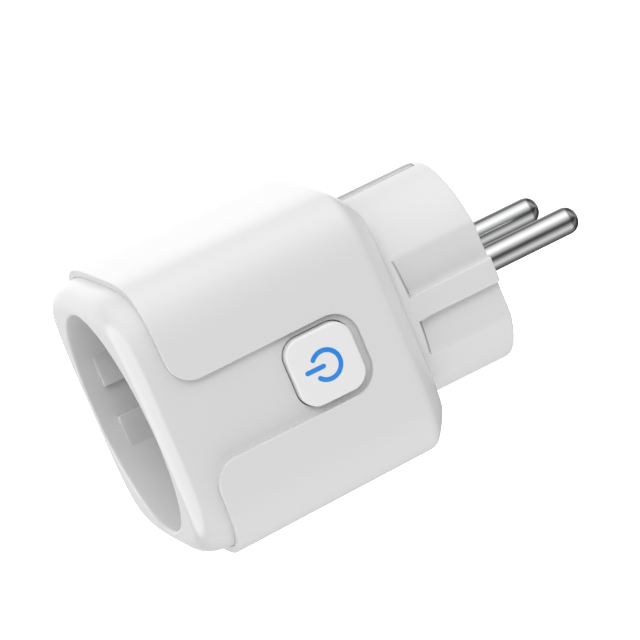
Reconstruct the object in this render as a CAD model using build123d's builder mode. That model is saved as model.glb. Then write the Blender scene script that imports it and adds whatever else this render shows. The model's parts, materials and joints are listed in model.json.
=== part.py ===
from build123d import *
import math
import os

# ---------------------------------------------------------------------------
# Smart plug: a pass-through mains adapter with a switched socket.
# Frame: origin at the centre of the plug's end face, +Y out along the pins,
# -Y towards the socket mouth, +Z up (earth strips at +Z and -Z), +X the side
# that carries the push button.  D is the depth behind the plug face, D = -y,
# so Plane.XZ.offset(D) is the plane at that depth.
# ---------------------------------------------------------------------------

# overall
BACK_D = 18.0          # back wall of the square body
SLEEVE_D = 60.3        # front edge of the outer sleeve
FRONT_D = 66.0         # front face of the socket
HALF_BACK = 24.4       # half width of the body at the back
HALF_FRONT = 25.2      # half width of the body at the sleeve's front edge
CORNER_R = 10.0        # corner radius of the body section
SIDE_R = 190.0         # very flat crown of each side
SLEEVE_T = 1.3         # sleeve thickness, seen as the step at its front edge
HOUSING_T = 1.7        # wall of the inner housing
BACK_T = 2.4           # back wall thickness
BACK_FILLET = 3.5
FRONT_FILLET = 5.0

# plug base
PLUG_R = 18.65
FLAT_X = 16.45         # guide flats
FLAT_D = 16.1          # the flats end here, the collar is round
RIB_X = 18.1           # rib that stands on each flat
RIB_HALF = 2.2
PLUG_FACE_T = 2.2
CAVITY_R = 16.4
CAVITY_FLAT = 14.7

# pins
PIN_PITCH = 19.0
PIN_R = 2.4
PIN_LEN = 19.3
PIN_TIP_R = 2.1
PIN_SHANK_R = 2.1

# plug earth strips
STRIP_HALF = 1.4
STRIPS = ((1, 18.05, 19.15), (-1, 17.1, 18.5))   # side, inner and outer height; the lower one lies flush
STRIP_D0 = 1.5

# socket
RECESS_R = 20.2
FLOOR_D = 48.5
FLOOR_T = 2.0
CUP_R = 21.7
PIN_HOLE_R = 2.7
GUIDE_X = 18.2
GUIDE_HALF = 7.9
GUIDE_GROOVE = 2.9
GUIDE_TOP_D = 62.5

# button and notch
BTN_D = 35.4
BTN_HALF = 6.2
BTN_CORNER = 3.3
BTN_TRAVEL = 0.45
NOTCH_REAR_D = 27.8
NOTCH_HALF = 7.35
NOTCH_R = 4.7
FLAP_R = 4.6
ICON_R = 2.5
ICON_W = 0.85
ICON_T = 0.45

# boards
BOARD_D = 25.4
BOARD_T = 1.6
BOARD_HALF = 20.3
CTRL_X = 14.9
CTRL_T = 1.2

os.makedirs("parts", exist_ok=True)


def half_at(d):
    """Half width of the body at depth d."""
    k = (d - BACK_D) / (SLEEVE_D - BACK_D)
    return HALF_BACK + (HALF_FRONT - HALF_BACK) * k


def squircle(a, r, rs=SIDE_R):
    """Square section with crowned sides and tangent corner arcs."""
    k = a - rs
    c = (k + math.sqrt(2 * (rs - r) ** 2 - k * k)) / 2
    tx = k + rs * (c - k) / (rs - r)
    ty = rs * c / (rs - r)
    m = c + r / math.sqrt(2)
    with BuildSketch(mode=Mode.PRIVATE) as s:
        with BuildLine():
            ThreePointArc((tx, -ty), (a, 0), (tx, ty))
            ThreePointArc((tx, ty), (m, m), (ty, tx))
            ThreePointArc((ty, tx), (0, a), (-ty, tx))
            ThreePointArc((-ty, tx), (-m, m), (-tx, ty))
            ThreePointArc((-tx, ty), (-a, 0), (-tx, -ty))
            ThreePointArc((-tx, -ty), (-m, -m), (-ty, -tx))
            ThreePointArc((-ty, -tx), (0, -a), (ty, -tx))
            ThreePointArc((ty, -tx), (m, -m), (tx, -ty))
        make_face()
    return s.sketch_local


def save(part, label):
    part.label = label
    export_step(part, "parts/" + label + ".step")


# ---------------------------------------------------------------- rear shell
# Outer sleeve, back wall and round plug base in one moulding.
with BuildPart() as rear_shell:
    with BuildSketch(Plane.XZ.offset(BACK_D)):
        add(squircle(HALF_BACK, CORNER_R))
    with BuildSketch(Plane.XZ.offset(SLEEVE_D)):
        add(squircle(HALF_FRONT, CORNER_R))
    loft()
    fillet(rear_shell.edges().group_by(Axis.Y)[-1], BACK_FILLET)
    # round plug base
    with BuildSketch(Plane.XZ):
        Circle(PLUG_R)
    extrude(amount=BACK_D + 0.6)
    base_edge = [e for e in rear_shell.edges().filter_by(GeomType.CIRCLE)
                 if abs(e.radius - PLUG_R) < 0.01 and abs(e.center().Y + BACK_D) < 0.02]
    fillet(base_edge, 1.1)
    # guide flats with their central ribs, open towards the plug face
    for side in (1, -1):
        for up in (1, -1):
            with BuildSketch(Plane.XZ):
                with Locations((side * (FLAT_X + 3), up * (RIB_HALF + 5))):
                    Rectangle(6, 10)
            extrude(amount=FLAT_D, mode=Mode.SUBTRACT)
        with BuildSketch(Plane.XZ):
            with Locations((side * (RIB_X + 2), 0)):
                Rectangle(4, 2 * RIB_HALF + 0.02)
        extrude(amount=FLAT_D, mode=Mode.SUBTRACT)
    fillet(rear_shell.edges().filter_by(lambda e: abs(e.center().Y) < 1e-4 and abs(e.bounding_box().size.Y) < 1e-4), 0.45)
    # room for the inner housing
    with BuildSketch(Plane.XZ.offset(BACK_D + BACK_T)):
        add(squircle(half_at(BACK_D + BACK_T) - SLEEVE_T + 0.03, CORNER_R - SLEEVE_T))
    with BuildSketch(Plane.XZ.offset(SLEEVE_D)):
        add(squircle(HALF_FRONT - SLEEVE_T + 0.03, CORNER_R - SLEEVE_T))
    loft(mode=Mode.SUBTRACT)
    # cavity inside the plug base
    with BuildSketch(Plane.XZ.offset(PLUG_FACE_T)):
        Circle(CAVITY_R)
        Rectangle(2 * CAVITY_FLAT, 60, mode=Mode.INTERSECT)
    extrude(amount=BACK_D + BACK_T - PLUG_FACE_T, mode=Mode.SUBTRACT)
    # bosses round the pins
    with BuildSketch(Plane.XZ.offset(PLUG_FACE_T - 0.2)):
        with Locations((PIN_PITCH / 2, 0), (-PIN_PITCH / 2, 0)):
            Circle(4.1)
    extrude(amount=5.0)
    with BuildSketch(Plane.XZ):
        with Locations((PIN_PITCH / 2, 0), (-PIN_PITCH / 2, 0)):
            Circle(PIN_SHANK_R + 0.02)
    extrude(amount=8, mode=Mode.SUBTRACT)
    # grooves and slots for the earth strips
    for up, z0, z1 in STRIPS:
        with BuildSketch(Plane.XZ.offset(STRIP_D0 - 0.05)):
            with Locations((0, up * (z0 - 0.03 + 1.5))):
                Rectangle(2 * STRIP_HALF + 0.1, 3.0)
        extrude(amount=BACK_D - STRIP_D0 + 0.05, mode=Mode.SUBTRACT)
        with BuildSketch(Plane.XZ.offset(BACK_D - 0.1)):
            with Locations((0, up * (z0 + z1) / 2)):
                Rectangle(2 * STRIP_HALF + 0.1, z1 - z0 + 0.08)
        extrude(amount=BACK_T + 0.2, mode=Mode.SUBTRACT)
    # bosses that carry the power board
    with BuildSketch(Plane.XZ.offset(BACK_D + BACK_T - 0.2)):
        with Locations((15.8, 15.8), (-15.8, 15.8), (15.8, -15.8), (-15.8, -15.8)):
            Circle(2.2)
    extrude(amount=BOARD_D - BACK_D - BACK_T + 0.2)
    with BuildSketch(Plane.XZ.offset(BACK_D + BACK_T + 0.6)):
        with Locations((15.8, 15.8), (-15.8, 15.8), (15.8, -15.8), (-15.8, -15.8)):
            Circle(0.95)
    extrude(amount=BOARD_D, mode=Mode.SUBTRACT)
    # notch in the sleeve that frames the button and opens to the front
    with BuildSketch(Plane.YZ.offset(20)):
        with BuildLine():
            ys, yr = -SLEEVE_D, -NOTCH_REAR_D
            q = 1 - 1 / math.sqrt(2)
            Line((ys - 3, NOTCH_HALF + FLAP_R), (ys, NOTCH_HALF + FLAP_R))
            ThreePointArc((ys, NOTCH_HALF + FLAP_R), (ys + FLAP_R * q, NOTCH_HALF + FLAP_R * q), (ys + FLAP_R, NOTCH_HALF))
            Line((ys + FLAP_R, NOTCH_HALF), (yr - NOTCH_R, NOTCH_HALF))
            ThreePointArc((yr - NOTCH_R, NOTCH_HALF), (yr - NOTCH_R * q, NOTCH_HALF - NOTCH_R * q), (yr, NOTCH_HALF - NOTCH_R))
            Line((yr, NOTCH_HALF - NOTCH_R), (yr, -NOTCH_HALF + NOTCH_R))
            ThreePointArc((yr, -NOTCH_HALF + NOTCH_R), (yr - NOTCH_R * q, -NOTCH_HALF + NOTCH_R * q), (yr - NOTCH_R, -NOTCH_HALF))
            Line((yr - NOTCH_R, -NOTCH_HALF), (ys + FLAP_R, -NOTCH_HALF))
            ThreePointArc((ys + FLAP_R, -NOTCH_HALF), (ys + FLAP_R * q, -NOTCH_HALF - FLAP_R * q), (ys, -NOTCH_HALF - FLAP_R))
            Line((ys, -NOTCH_HALF - FLAP_R), (ys - 3, -NOTCH_HALF - FLAP_R))
            Line((ys - 3, -NOTCH_HALF - FLAP_R), (ys - 3, NOTCH_HALF + FLAP_R))
        make_face()
    extrude(amount=8, mode=Mode.SUBTRACT)
save(rear_shell.part, "rear_shell")

# ------------------------------------------------------------- front housing
# Inner housing with the round socket recess, slid into the rear shell.
H0 = BACK_D + BACK_T
with BuildPart() as front_housing:
    with BuildSketch(Plane.XZ.offset(H0)):
        add(squircle(half_at(H0) - SLEEVE_T, CORNER_R - SLEEVE_T))
    with BuildSketch(Plane.XZ.offset(FRONT_D)):
        add(squircle(half_at(FRONT_D) - SLEEVE_T, CORNER_R - SLEEVE_T))
    loft()
    fillet(front_housing.edges().group_by(Axis.Y)[0], FRONT_FILLET)
    # hollow behind the cup
    with BuildSketch(Plane.XZ.offset(H0)):
        add(squircle(half_at(H0) - SLEEVE_T - HOUSING_T, CORNER_R - SLEEVE_T - HOUSING_T))
    with BuildSketch(Plane.XZ.offset(62.0)):
        add(squircle(half_at(62.0) - SLEEVE_T - HOUSING_T, CORNER_R - SLEEVE_T - HOUSING_T))
    loft(mode=Mode.SUBTRACT)
    # cup wall and floor
    with BuildSketch(Plane.XZ.offset(FLOOR_D - FLOOR_T)):
        Circle(CUP_R)
    extrude(amount=62.2 - FLOOR_D + FLOOR_T)
    with BuildSketch(Plane.XZ.offset(FLOOR_D)):
        Circle(RECESS_R)
    extrude(amount=20, mode=Mode.SUBTRACT)
    fillet([e for e in front_housing.edges() if e.bounding_box().min.Y < -FRONT_D + 1.0
            and abs(math.hypot(e.center().X, e.center().Z) - RECESS_R) < 21
            and e.bounding_box().size.Y < 0.6
            and all(abs(math.hypot((e @ t).X, (e @ t).Z) - RECESS_R) < 0.02 for t in (0.0, 0.3, 0.7, 1.0))], 0.55)
    # guide blocks with a central groove on both sides of the recess
    for side in (1, -1):
        with BuildSketch(Plane.XZ.offset(FLOOR_D - 0.2)):
            Circle(RECESS_R + 0.4)
            with Locations((side * (GUIDE_X + 5), GUIDE_HALF / 2 + GUIDE_GROOVE / 2), (side * (GUIDE_X + 5), -GUIDE_HALF / 2 - GUIDE_GROOVE / 2)):
                Rectangle(10, GUIDE_HALF - GUIDE_GROOVE, mode=Mode.INTERSECT)
        extrude(amount=GUIDE_TOP_D - FLOOR_D + 0.2)
    # earth clip slots through the cup wall, top and bottom
    for up in (1, -1):
        with BuildSketch(Plane.XZ.offset(FLOOR_D - FLOOR_T - 0.1)):
            with Locations((0, up * 20.5)):
                Rectangle(6.8, 2.0)
        extrude(amount=62.0 - FLOOR_D + FLOOR_T + 0.1, mode=Mode.SUBTRACT)
    # pin holes and the shutter pivot socket in the floor
    with BuildSketch(Plane.XZ.offset(FLOOR_D - FLOOR_T - 0.5)):
        with Locations((PIN_PITCH / 2, 0), (-PIN_PITCH / 2, 0)):
            Circle(PIN_HOLE_R)
    extrude(amount=FLOOR_T + 2, mode=Mode.SUBTRACT)
    with BuildSketch(Plane.XZ.offset(FLOOR_D - FLOOR_T - 0.5)):
        Circle(1.01)
    extrude(amount=1.7, mode=Mode.SUBTRACT)
    # bosses for the contact carrier
    with BuildSketch(Plane.XZ.offset(43.2)):
        with Locations((0, 11.8), (0, -11.8)):
            Circle(2.5)
    extrude(amount=FLOOR_D - FLOOR_T - 43.2 + 0.2)
    with BuildSketch(Plane.XZ.offset(43.0)):
        with Locations((0, 11.8), (0, -11.8)):
            Circle(0.95)
    extrude(amount=4.6, mode=Mode.SUBTRACT)
    # button opening in the +X wall
    with BuildSketch(Plane.YZ.offset(18)):
        with Locations((-BTN_D, 0)):
            RectangleRounded(2 * BTN_HALF + 0.3, 2 * BTN_HALF + 0.3, BTN_CORNER + 0.15)
    extrude(amount=10, mode=Mode.SUBTRACT)
save(front_housing.part, "front_housing")

# ----------------------------------------------------------------- plug pins
def pin_profile():
    with BuildSketch(Plane.XY, mode=Mode.PRIVATE) as s:
        with BuildLine():
            Polyline((0, -9.8), (2.1, -9.8), (2.1, -9.0), (1.5, -9.0), (1.5, -8.2), (3.2, -8.2), (3.2, -7.2), (PIN_SHANK_R, -7.2), (PIN_SHANK_R, 0), (PIN_R, 0), (PIN_R, PIN_LEN), (0, PIN_LEN), close=True)
        make_face()
    return s.sketch_local


with BuildPart() as pin_left:
    with BuildSketch(Plane(origin=(-PIN_PITCH / 2, 0, 0), x_dir=(1, 0, 0), z_dir=(0, 0, 1))):
        add(pin_profile())
    revolve(axis=Axis((-PIN_PITCH / 2, 0, 0), (0, 1, 0)))
    fillet(pin_left.edges().group_by(Axis.Y)[-1], PIN_TIP_R)
save(pin_left.part, "plug_pin_left")

with BuildPart() as pin_right:
    with BuildSketch(Plane(origin=(PIN_PITCH / 2, 0, 0), x_dir=(1, 0, 0), z_dir=(0, 0, 1))):
        add(pin_profile())
    revolve(axis=Axis((PIN_PITCH / 2, 0, 0), (0, 1, 0)))
    fillet(pin_right.edges().group_by(Axis.Y)[-1], PIN_TIP_R)
save(pin_right.part, "plug_pin_right")

# straps from the pins' riveted tails to the power board
for side, name in ((-1, "pin_strap_left"), (1, "pin_strap_right")):
    with BuildPart() as strap:
        with BuildSketch(Plane.XZ.offset(8.2)):
            with Locations((side * 9.75, 0)):
                Rectangle(5.7, 5.2)
        extrude(amount=0.8)
        with BuildSketch(Plane.XZ.offset(8.2)):
            with Locations((side * 12.2, 0)):
                Rectangle(0.8, 5.2)
        extrude(amount=BOARD_D - 8.2)
        with BuildSketch(Plane.XZ.offset(8.0)):
            with Locations((side * 9.5, 0)):
                Circle(1.52)
        extrude(amount=1.2, mode=Mode.SUBTRACT)
        fillet(strap.edges().filter_by(Axis.Z).filter_by(lambda e: abs(abs(e.center().X) - 12.6) < 0.01 and abs(e.center().Y + 8.2) < 0.01), 0.7)
    save(strap.part, name)

# ---------------------------------------------------------- plug earth yoke
# Two strips on the outside of the plug base joined by a ring on the back wall.
with BuildPart() as yoke:
    with BuildSketch(Plane.XZ.offset(H0)):
        Circle(19.3)
        Circle(16.9, mode=Mode.SUBTRACT)
    extrude(amount=0.6)
    for up, z0, z1 in STRIPS:
        with BuildSketch(Plane.XZ.offset(STRIP_D0)):
            with Locations((0, up * (z0 + z1) / 2)):
                RectangleRounded(2 * STRIP_HALF, z1 - z0, 0.45)
        extrude(amount=H0 + 0.3 - STRIP_D0)
save(yoke.part, "plug_earth_yoke")

# ------------------------------------------------------------ earth bracket
# U strap behind the socket; each arm bows into the recess as an earth clip.
with BuildPart() as bracket:
    for up in (1, -1):
        with BuildSketch(Plane.YZ.offset(-3.0)):
            with BuildLine():
                pts = [(-29.0, 0), (-29.0, 20.9), (-53.0, 20.9), (-56.5, 19.3), (-58.5, 19.3), (-61.0, 20.9), (-61.6, 20.9),
                       (-61.6, 20.3), (-61.2, 20.3), (-58.8, 18.6), (-56.2, 18.6), (-52.7, 20.3), (-29.8, 20.3), (-29.8, 0)]
                Polyline(*[(y, up * z) for y, z in pts], close=True)
            make_face()
        extrude(amount=6.0)
save(bracket.part, "earth_bracket")

# strap that joins the bracket and the plug's earth yoke
with BuildPart() as link:
    with BuildSketch(Plane.YZ.offset(-2.3)):
        with BuildLine():
            Polyline((-21.0, 17.2), (-21.0, 19.1), (-29.0, 19.1), (-29.0, 15.8), (-28.4, 15.8), (-28.4, 18.5), (-21.6, 18.5), (-21.6, 17.2), close=True)
        make_face()
    extrude(amount=4.6)
save(link.part, "earth_link")

# ----------------------------------------------------------- contact carrier
with BuildPart() as carrier:
    with BuildSketch(Plane.XZ.offset(30.0)):
        RectangleRounded(27.8, 16.0, 2.2)
    extrude(amount=13.2)
    # ears for the screws
    with BuildSketch(Plane.XZ.offset(41.4)):
        with Locations((0, 9.5), (0, -9.5)):
            RectangleRounded(6.4, 9.8, 2.0)
    extrude(amount=1.8)
    with BuildSketch(Plane.XZ.offset(41.0)):
        with Locations((0, 11.8), (0, -11.8)):
            Circle(1.25)
    extrude(amount=3, mode=Mode.SUBTRACT)
    # pockets for the socket contacts, with a slot for their tails
    with BuildSketch(Plane.XZ.offset(31.2)):
        with Locations((PIN_PITCH / 2, 0), (-PIN_PITCH / 2, 0)):
            Circle(3.6)
    extrude(amount=14, mode=Mode.SUBTRACT)
    with BuildSketch(Plane.XZ.offset(29.5)):
        with Locations((PIN_PITCH / 2, -2.75), (-PIN_PITCH / 2, -2.75)):
            Rectangle(2.6, 0.9)
    extrude(amount=3, mode=Mode.SUBTRACT)
    # pivot socket and spring groove
    with BuildSketch(Plane.XZ.offset(41.6)):
        Circle(3.4)
        Circle(1.7, mode=Mode.SUBTRACT)
    extrude(amount=3, mode=Mode.SUBTRACT)
    with BuildSketch(Plane.XZ.offset(40.2)):
        Circle(1.01)
    extrude(amount=5, mode=Mode.SUBTRACT)
save(carrier.part, "contact_carrier")

# carrier screws, heads behind the ears
with BuildPart() as carrier_screws:
    with BuildSketch(Plane.XZ.offset(40.1)):
        with Locations((0, 11.8), (0, -11.8)):
            Circle(2.1)
    extrude(amount=1.3)
    with BuildSketch(Plane.XZ.offset(41.3)):
        with Locations((0, 11.8), (0, -11.8)):
            Circle(0.93)
    extrude(amount=5.8)
    with BuildSketch(Plane.XZ.offset(40.1)):
        with Locations((0, 11.8), (0, -11.8)):
            Rectangle(2.6, 0.5)
            Rectangle(0.5, 2.6)
    extrude(amount=0.7, mode=Mode.SUBTRACT)
save(carrier_screws.part, "carrier_screws")

# --------------------------------------------------------- socket contacts
for side, name in ((-1, "socket_contact_left"), (1, "socket_contact_right")):
    with BuildPart() as contact:
        with BuildSketch(Plane.XZ.offset(32.0)):
            with Locations((side * PIN_PITCH / 2, 0)):
                Circle(3.05)
                Circle(2.45, mode=Mode.SUBTRACT)
            with Locations((side * PIN_PITCH / 2, 2.8)):
                Rectangle(1.4, 2.0, mode=Mode.SUBTRACT)
        extrude(amount=10.4)
        with BuildSketch(Plane.XZ.offset(BOARD_D + BOARD_T)):
            with Locations((side * PIN_PITCH / 2, -2.75)):
                Rectangle(2.4, 0.6)
        extrude(amount=5.6)
    save(contact.part, name)

# ------------------------------------------------------------------ shutter
with BuildPart() as shutter:
    with BuildSketch(Plane.XZ.offset(43.7)):
        Circle(3.6)
        with Locations((7.6, 0), (-7.6, 0)):
            RectangleRounded(10.4, 6.4, 2.6)
        Circle(1.04, mode=Mode.SUBTRACT)
    extrude(amount=2.4)
    # sloped lead-in on the blades, where the pins push
    with BuildSketch(Plane.XZ.offset(45.2)):
        with Locations((9.5, 3.4), (-9.5, -3.4)):
            Rectangle(6.8, 2.4)
    extrude(amount=1.4, mode=Mode.SUBTRACT)
save(shutter.part, "shutter")

with BuildPart() as shutter_pin:
    with BuildSketch(Plane.XZ.offset(40.3)):
        Circle(1.0)
    extrude(amount=7.3)
    chamfer(shutter_pin.edges().filter_by(GeomType.CIRCLE), 0.15)
save(shutter_pin.part, "shutter_pin")

with BuildPart() as shutter_spring:
    with BuildLine() as helix_line:
        Helix(pitch=0.5, height=1.25, radius=2.5, center=(0, -41.9, 0), direction=(0, -1, 0))
    with BuildSketch(Plane(origin=helix_line.line @ 0, z_dir=helix_line.line % 0)):
        Circle(0.17)
    sweep()
save(shutter_spring.part, "shutter_spring")

# -------------------------------------------------------------- power board
with BuildPart() as power_board:
    with BuildSketch(Plane.XZ.offset(BOARD_D)):
        add(squircle(BOARD_HALF, 8.6))
        with Locations((0, BOARD_HALF)):
            Rectangle(6.4, 6.0, mode=Mode.SUBTRACT)
        with Locations((15.8, 15.8), (-15.8, 15.8), (15.8, -15.8), (-15.8, -15.8)):
            Circle(1.25, mode=Mode.SUBTRACT)
    extrude(amount=BOARD_T)
save(power_board.part, "power_board")

with BuildPart() as board_screws:
    with BuildSketch(Plane.XZ.offset(22.0)):
        with Locations((15.8, 15.8), (-15.8, 15.8), (15.8, -15.8), (-15.8, -15.8)):
            Circle(0.93)
    extrude(amount=5.1)
    with BuildSketch(Plane.XZ.offset(BOARD_D + BOARD_T)):
        with Locations((15.8, 15.8), (-15.8, 15.8), (15.8, -15.8), (-15.8, -15.8)):
            Circle(1.9)
    extrude(amount=1.3)
    with BuildSketch(Plane.XZ.offset(BOARD_D + BOARD_T + 0.7)):
        with Locations((15.8, 15.8), (-15.8, 15.8), (15.8, -15.8), (-15.8, -15.8)):
            Rectangle(2.4, 0.5)
            Rectangle(0.5, 2.4)
    extrude(amount=1.0, mode=Mode.SUBTRACT)
save(board_screws.part, "board_screws")

# -------------------------------------------------------------------- relay
with BuildPart() as relay_base:
    with BuildSketch(Plane.XZ.offset(23.4)):
        RectangleRounded(13.8, 17.6, 0.8)
    extrude(amount=2.0)
save(relay_base.part, "relay_base")

with BuildPart() as relay_cover:
    with BuildSketch(Plane.XZ.offset(10.4)):
        RectangleRounded(15.6, 19.4, 1.4)
    extrude(amount=15.0)
    fillet(relay_cover.edges().group_by(Axis.Y)[-1], 0.8)
    with BuildSketch(Plane.XZ.offset(11.2)):
        RectangleRounded(14.0, 17.8, 0.9)
    extrude(amount=16, mode=Mode.SUBTRACT)
save(relay_cover.part, "relay_cover")

with BuildPart() as relay_yoke:
    # core with its pole face, bottom leg and upright leg
    with BuildSketch(Plane.XZ.offset(12.9)):
        with Locations((0, -4.2)):
            Circle(2.5)
    extrude(amount=0.6)
    with BuildSketch(Plane.XZ.offset(13.4)):
        with Locations((0, -4.2)):
            Circle(1.5)
    extrude(amount=9.4)
    with BuildSketch(Plane.XZ.offset(22.4)):
        with Locations((0, -2.6)):
            Rectangle(8.0, 11.0)
    extrude(amount=1.0)
    with BuildSketch(Plane.XZ.offset(12.6)):
        with Locations((0, 2.4)):
            Rectangle(8.0, 1.0)
    extrude(amount=10.8)
save(relay_yoke.part, "relay_yoke")

with BuildPart() as relay_coil:
    with BuildSketch(Plane.XZ.offset(13.6)):
        with Locations((0, -4.2)):
            Circle(4.1)
            Circle(1.55, mode=Mode.SUBTRACT)
    extrude(amount=8.7)
    for d in (13.55, 21.5):
        with BuildSketch(Plane.XZ.offset(d)):
            with Locations((0, -4.2)):
                RectangleRounded(10.0, 9.0, 1.2)
                Circle(1.55, mode=Mode.SUBTRACT)
        extrude(amount=0.8)
save(relay_coil.part, "relay_coil")

with BuildPart() as relay_armature:
    # flat plate over the pole face, with a leaf that carries the contact
    with BuildSketch(Plane.XZ.offset(11.6)):
        with Locations((0, -2.55)):
            Rectangle(7.6, 10.9)
    extrude(amount=0.8)
    with BuildSketch(Plane.XZ.offset(11.6)):
        with Locations((0, 3.6)):
            Rectangle(6.0, 0.5)
    extrude(amount=8.0)
    with BuildSketch(Plane.XZ.offset(11.6)):
        with Locations((0, 3.2)):
            Rectangle(6.0, 1.2)
    extrude(amount=0.8)
    with BuildSketch(Plane.XY.offset(3.7)):
        with Locations((0, -18.0)):
            Circle(1.3)
    extrude(amount=0.9)
    # rolled edge that rocks on the upright leg of the yoke
    with BuildSketch(Plane.YZ.offset(-3.8)):
        with Locations((-12.4, 1.9)):
            Circle(0.18)
    extrude(amount=7.6)
save(relay_armature.part, "relay_armature")

with BuildPart() as relay_fixed_contact:
    with BuildSketch(Plane.XZ.offset(16.0)):
        with Locations((0, 6.3)):
            Rectangle(6.0, 0.6)
    extrude(amount=7.4)
    with BuildSketch(Plane.XY.offset(4.97)):
        with Locations((0, -18.0)):
            Circle(1.3)
    extrude(amount=1.1)
save(relay_fixed_contact.part, "relay_fixed_contact")

# --------------------------------------------------- parts on the power board
B1 = BOARD_D + BOARD_T
def can(x, z, r, h, label):
    with BuildPart() as c:
        with BuildSketch(Plane.XZ.offset(B1)):
            with Locations((x, z)):
                Circle(r)
        extrude(amount=h)
        fillet(c.edges().group_by(Axis.Y)[0], 0.5)
        with BuildSketch(Plane.XZ.offset(B1 + h - 0.25)):
            with Locations((x, z)):
                Rectangle(r * 1.2, 0.3)
                Rectangle(0.3, r * 1.2)
        extrude(amount=1, mode=Mode.SUBTRACT)
    save(c.part, label)


can(-9.4, 13.6, 4.0, 12.5, "high_voltage_capacitor")
can(-9.4, -13.6, 4.0, 10.0, "output_capacitor")

with BuildPart() as transformer:
    with BuildSketch(Plane.XZ.offset(B1)):
        with Locations((8.45, 13.6)):
            Rectangle(10.4, 9.2)
    extrude(amount=1.2)
    with BuildSketch(Plane.XZ.offset(B1 + 1.0)):
        with Locations((8.45, 13.6)):
            RectangleRounded(8.4, 7.6, 1.5)
    extrude(amount=8.0)
    with BuildSketch(Plane.XZ.offset(B1 + 8.8)):
        with Locations((8.45, 13.6)):
            Rectangle(10.4, 9.2)
    extrude(amount=1.2)
save(transformer.part, "transformer")

with BuildPart() as choke:
    with BuildSketch(Plane.XZ.offset(B1)):
        with Locations((9.8, -14.2)):
            Circle(3.2)
    extrude(amount=1.0)
    with BuildSketch(Plane.XZ.offset(B1 + 0.8)):
        with Locations((9.8, -14.2)):
            Circle(2.5)
    extrude(amount=5.4)
    with BuildSketch(Plane.XZ.offset(B1 + 6.0)):
        with Locations((9.8, -14.2)):
            Circle(3.2)
    extrude(amount=1.0)
save(choke.part, "choke")

with BuildPart() as varistor:
    with BuildSketch(Plane.XY.offset(11.4)):
        with Locations((0, -20.4)):
            Circle(3.6)
    extrude(amount=3.2)
    fillet(varistor.edges().filter_by(GeomType.CIRCLE), 1.0)
    with BuildSketch(Plane.XZ.offset(22.5)):
        with Locations((2.0, 12.3), (-2.0, 13.7)):
            Circle(0.3)
    extrude(amount=BOARD_D - 22.5)
save(varistor.part, "varistor")

with BuildPart() as fuse_resistor:
    with BuildSketch(Plane.XY.offset(-4.0)):
        with Locations((-18.2, -23.2)):
            Circle(1.5)
    extrude(amount=8.0)
    fillet(fuse_resistor.edges().filter_by(GeomType.CIRCLE), 0.6)
    with BuildSketch(Plane.XY.offset(-5.4)):
        with Locations((-18.2, -23.2)):
            Circle(0.3)
    extrude(amount=10.8)
    with BuildSketch(Plane.XZ.offset(23.2)):
        with Locations((-18.2, 5.0), (-18.2, -5.0)):
            Circle(0.25)
    extrude(amount=BOARD_D - 23.2)
save(fuse_resistor.part, "fuse_resistor")

with BuildPart() as shunt:
    with BuildSketch(Plane.YZ.offset(-18.9)):
        with BuildLine():
            Polyline((-B1, 3.0), (-B1 - 3.0, 3.0), (-B1 - 3.0, -3.0), (-B1, -3.0), (-B1, -2.2), (-B1 - 2.2, -2.2), (-B1 - 2.2, 2.2), (-B1, 2.2), close=True)
        make_face()
    extrude(amount=1.6)
save(shunt.part, "current_shunt")

with BuildPart() as chips:
    with BuildSketch(Plane.XZ.offset(B1)):
        with Locations((-17.2, 7.6), (-17.2, -7.6)):
            Rectangle(4.0, 5.0)
    extrude(amount=1.5)
save(chips.part, "power_chips")

# ------------------------------------------------------------ control board
with BuildPart() as control_board:
    with BuildSketch(Plane.YZ.offset(CTRL_X)):
        with Locations((-(B1 + 45.4) / 2, 1.1)):
            Rectangle(45.4 - B1, 25.0)
    extrude(amount=CTRL_T)
    fillet(control_board.edges().filter_by(Axis.X).group_by(Axis.Y)[0], 1.5)
save(control_board.part, "control_board")
CX = CTRL_X + CTRL_T

with BuildPart() as header:
    with BuildSketch(Plane.YZ.offset(CX)):
        with Locations((-B1 - 1.25, -6.2)):
            Rectangle(2.5, 7.6)
    extrude(amount=2.5)
    chamfer(header.edges().filter_by(Axis.Y), 0.3)
save(header.part, "board_header")

with BuildPart() as wifi_module:
    with BuildSketch(Plane.YZ.offset(CX)):
        with Locations((-36.6, 8.4)):
            Rectangle(16.0, 9.6)
    extrude(amount=0.8)
save(wifi_module.part, "wifi_module")

with BuildPart() as wifi_shield:
    with BuildSketch(Plane.YZ.offset(CX + 0.8)):
        with Locations((-34.4, 8.4)):
            RectangleRounded(10.6, 8.8, 0.6)
    extrude(amount=2.0)
    fillet(wifi_shield.edges().group_by(Axis.X)[-1], 0.3)
    with BuildSketch(Plane.YZ.offset(CX + 0.7)):
        with Locations((-34.4, 8.4)):
            Rectangle(10.0, 8.2)
    extrude(amount=1.8, mode=Mode.SUBTRACT)
save(wifi_shield.part, "wifi_shield")

with BuildPart() as status_led:
    with BuildSketch(Plane.YZ.offset(CX)):
        with Locations((-BTN_D - 5.0, -4.6)):
            Rectangle(1.6, 0.9)
    extrude(amount=0.7)
save(status_led.part, "status_led")

# -------------------------------------------------------------- push switch
with BuildPart() as switch_body:
    with BuildSketch(Plane.YZ.offset(CX)):
        with Locations((-BTN_D, 0)):
            Rectangle(6.0, 6.0)
    extrude(amount=3.3)
    chamfer(switch_body.edges().filter_by(Axis.X), 0.4)
    with BuildSketch(Plane.YZ.offset(CX + 1.5)):
        with Locations((-BTN_D, 0)):
            Circle(1.8)
    extrude(amount=4, mode=Mode.SUBTRACT)
save(switch_body.part, "switch_body")

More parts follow.
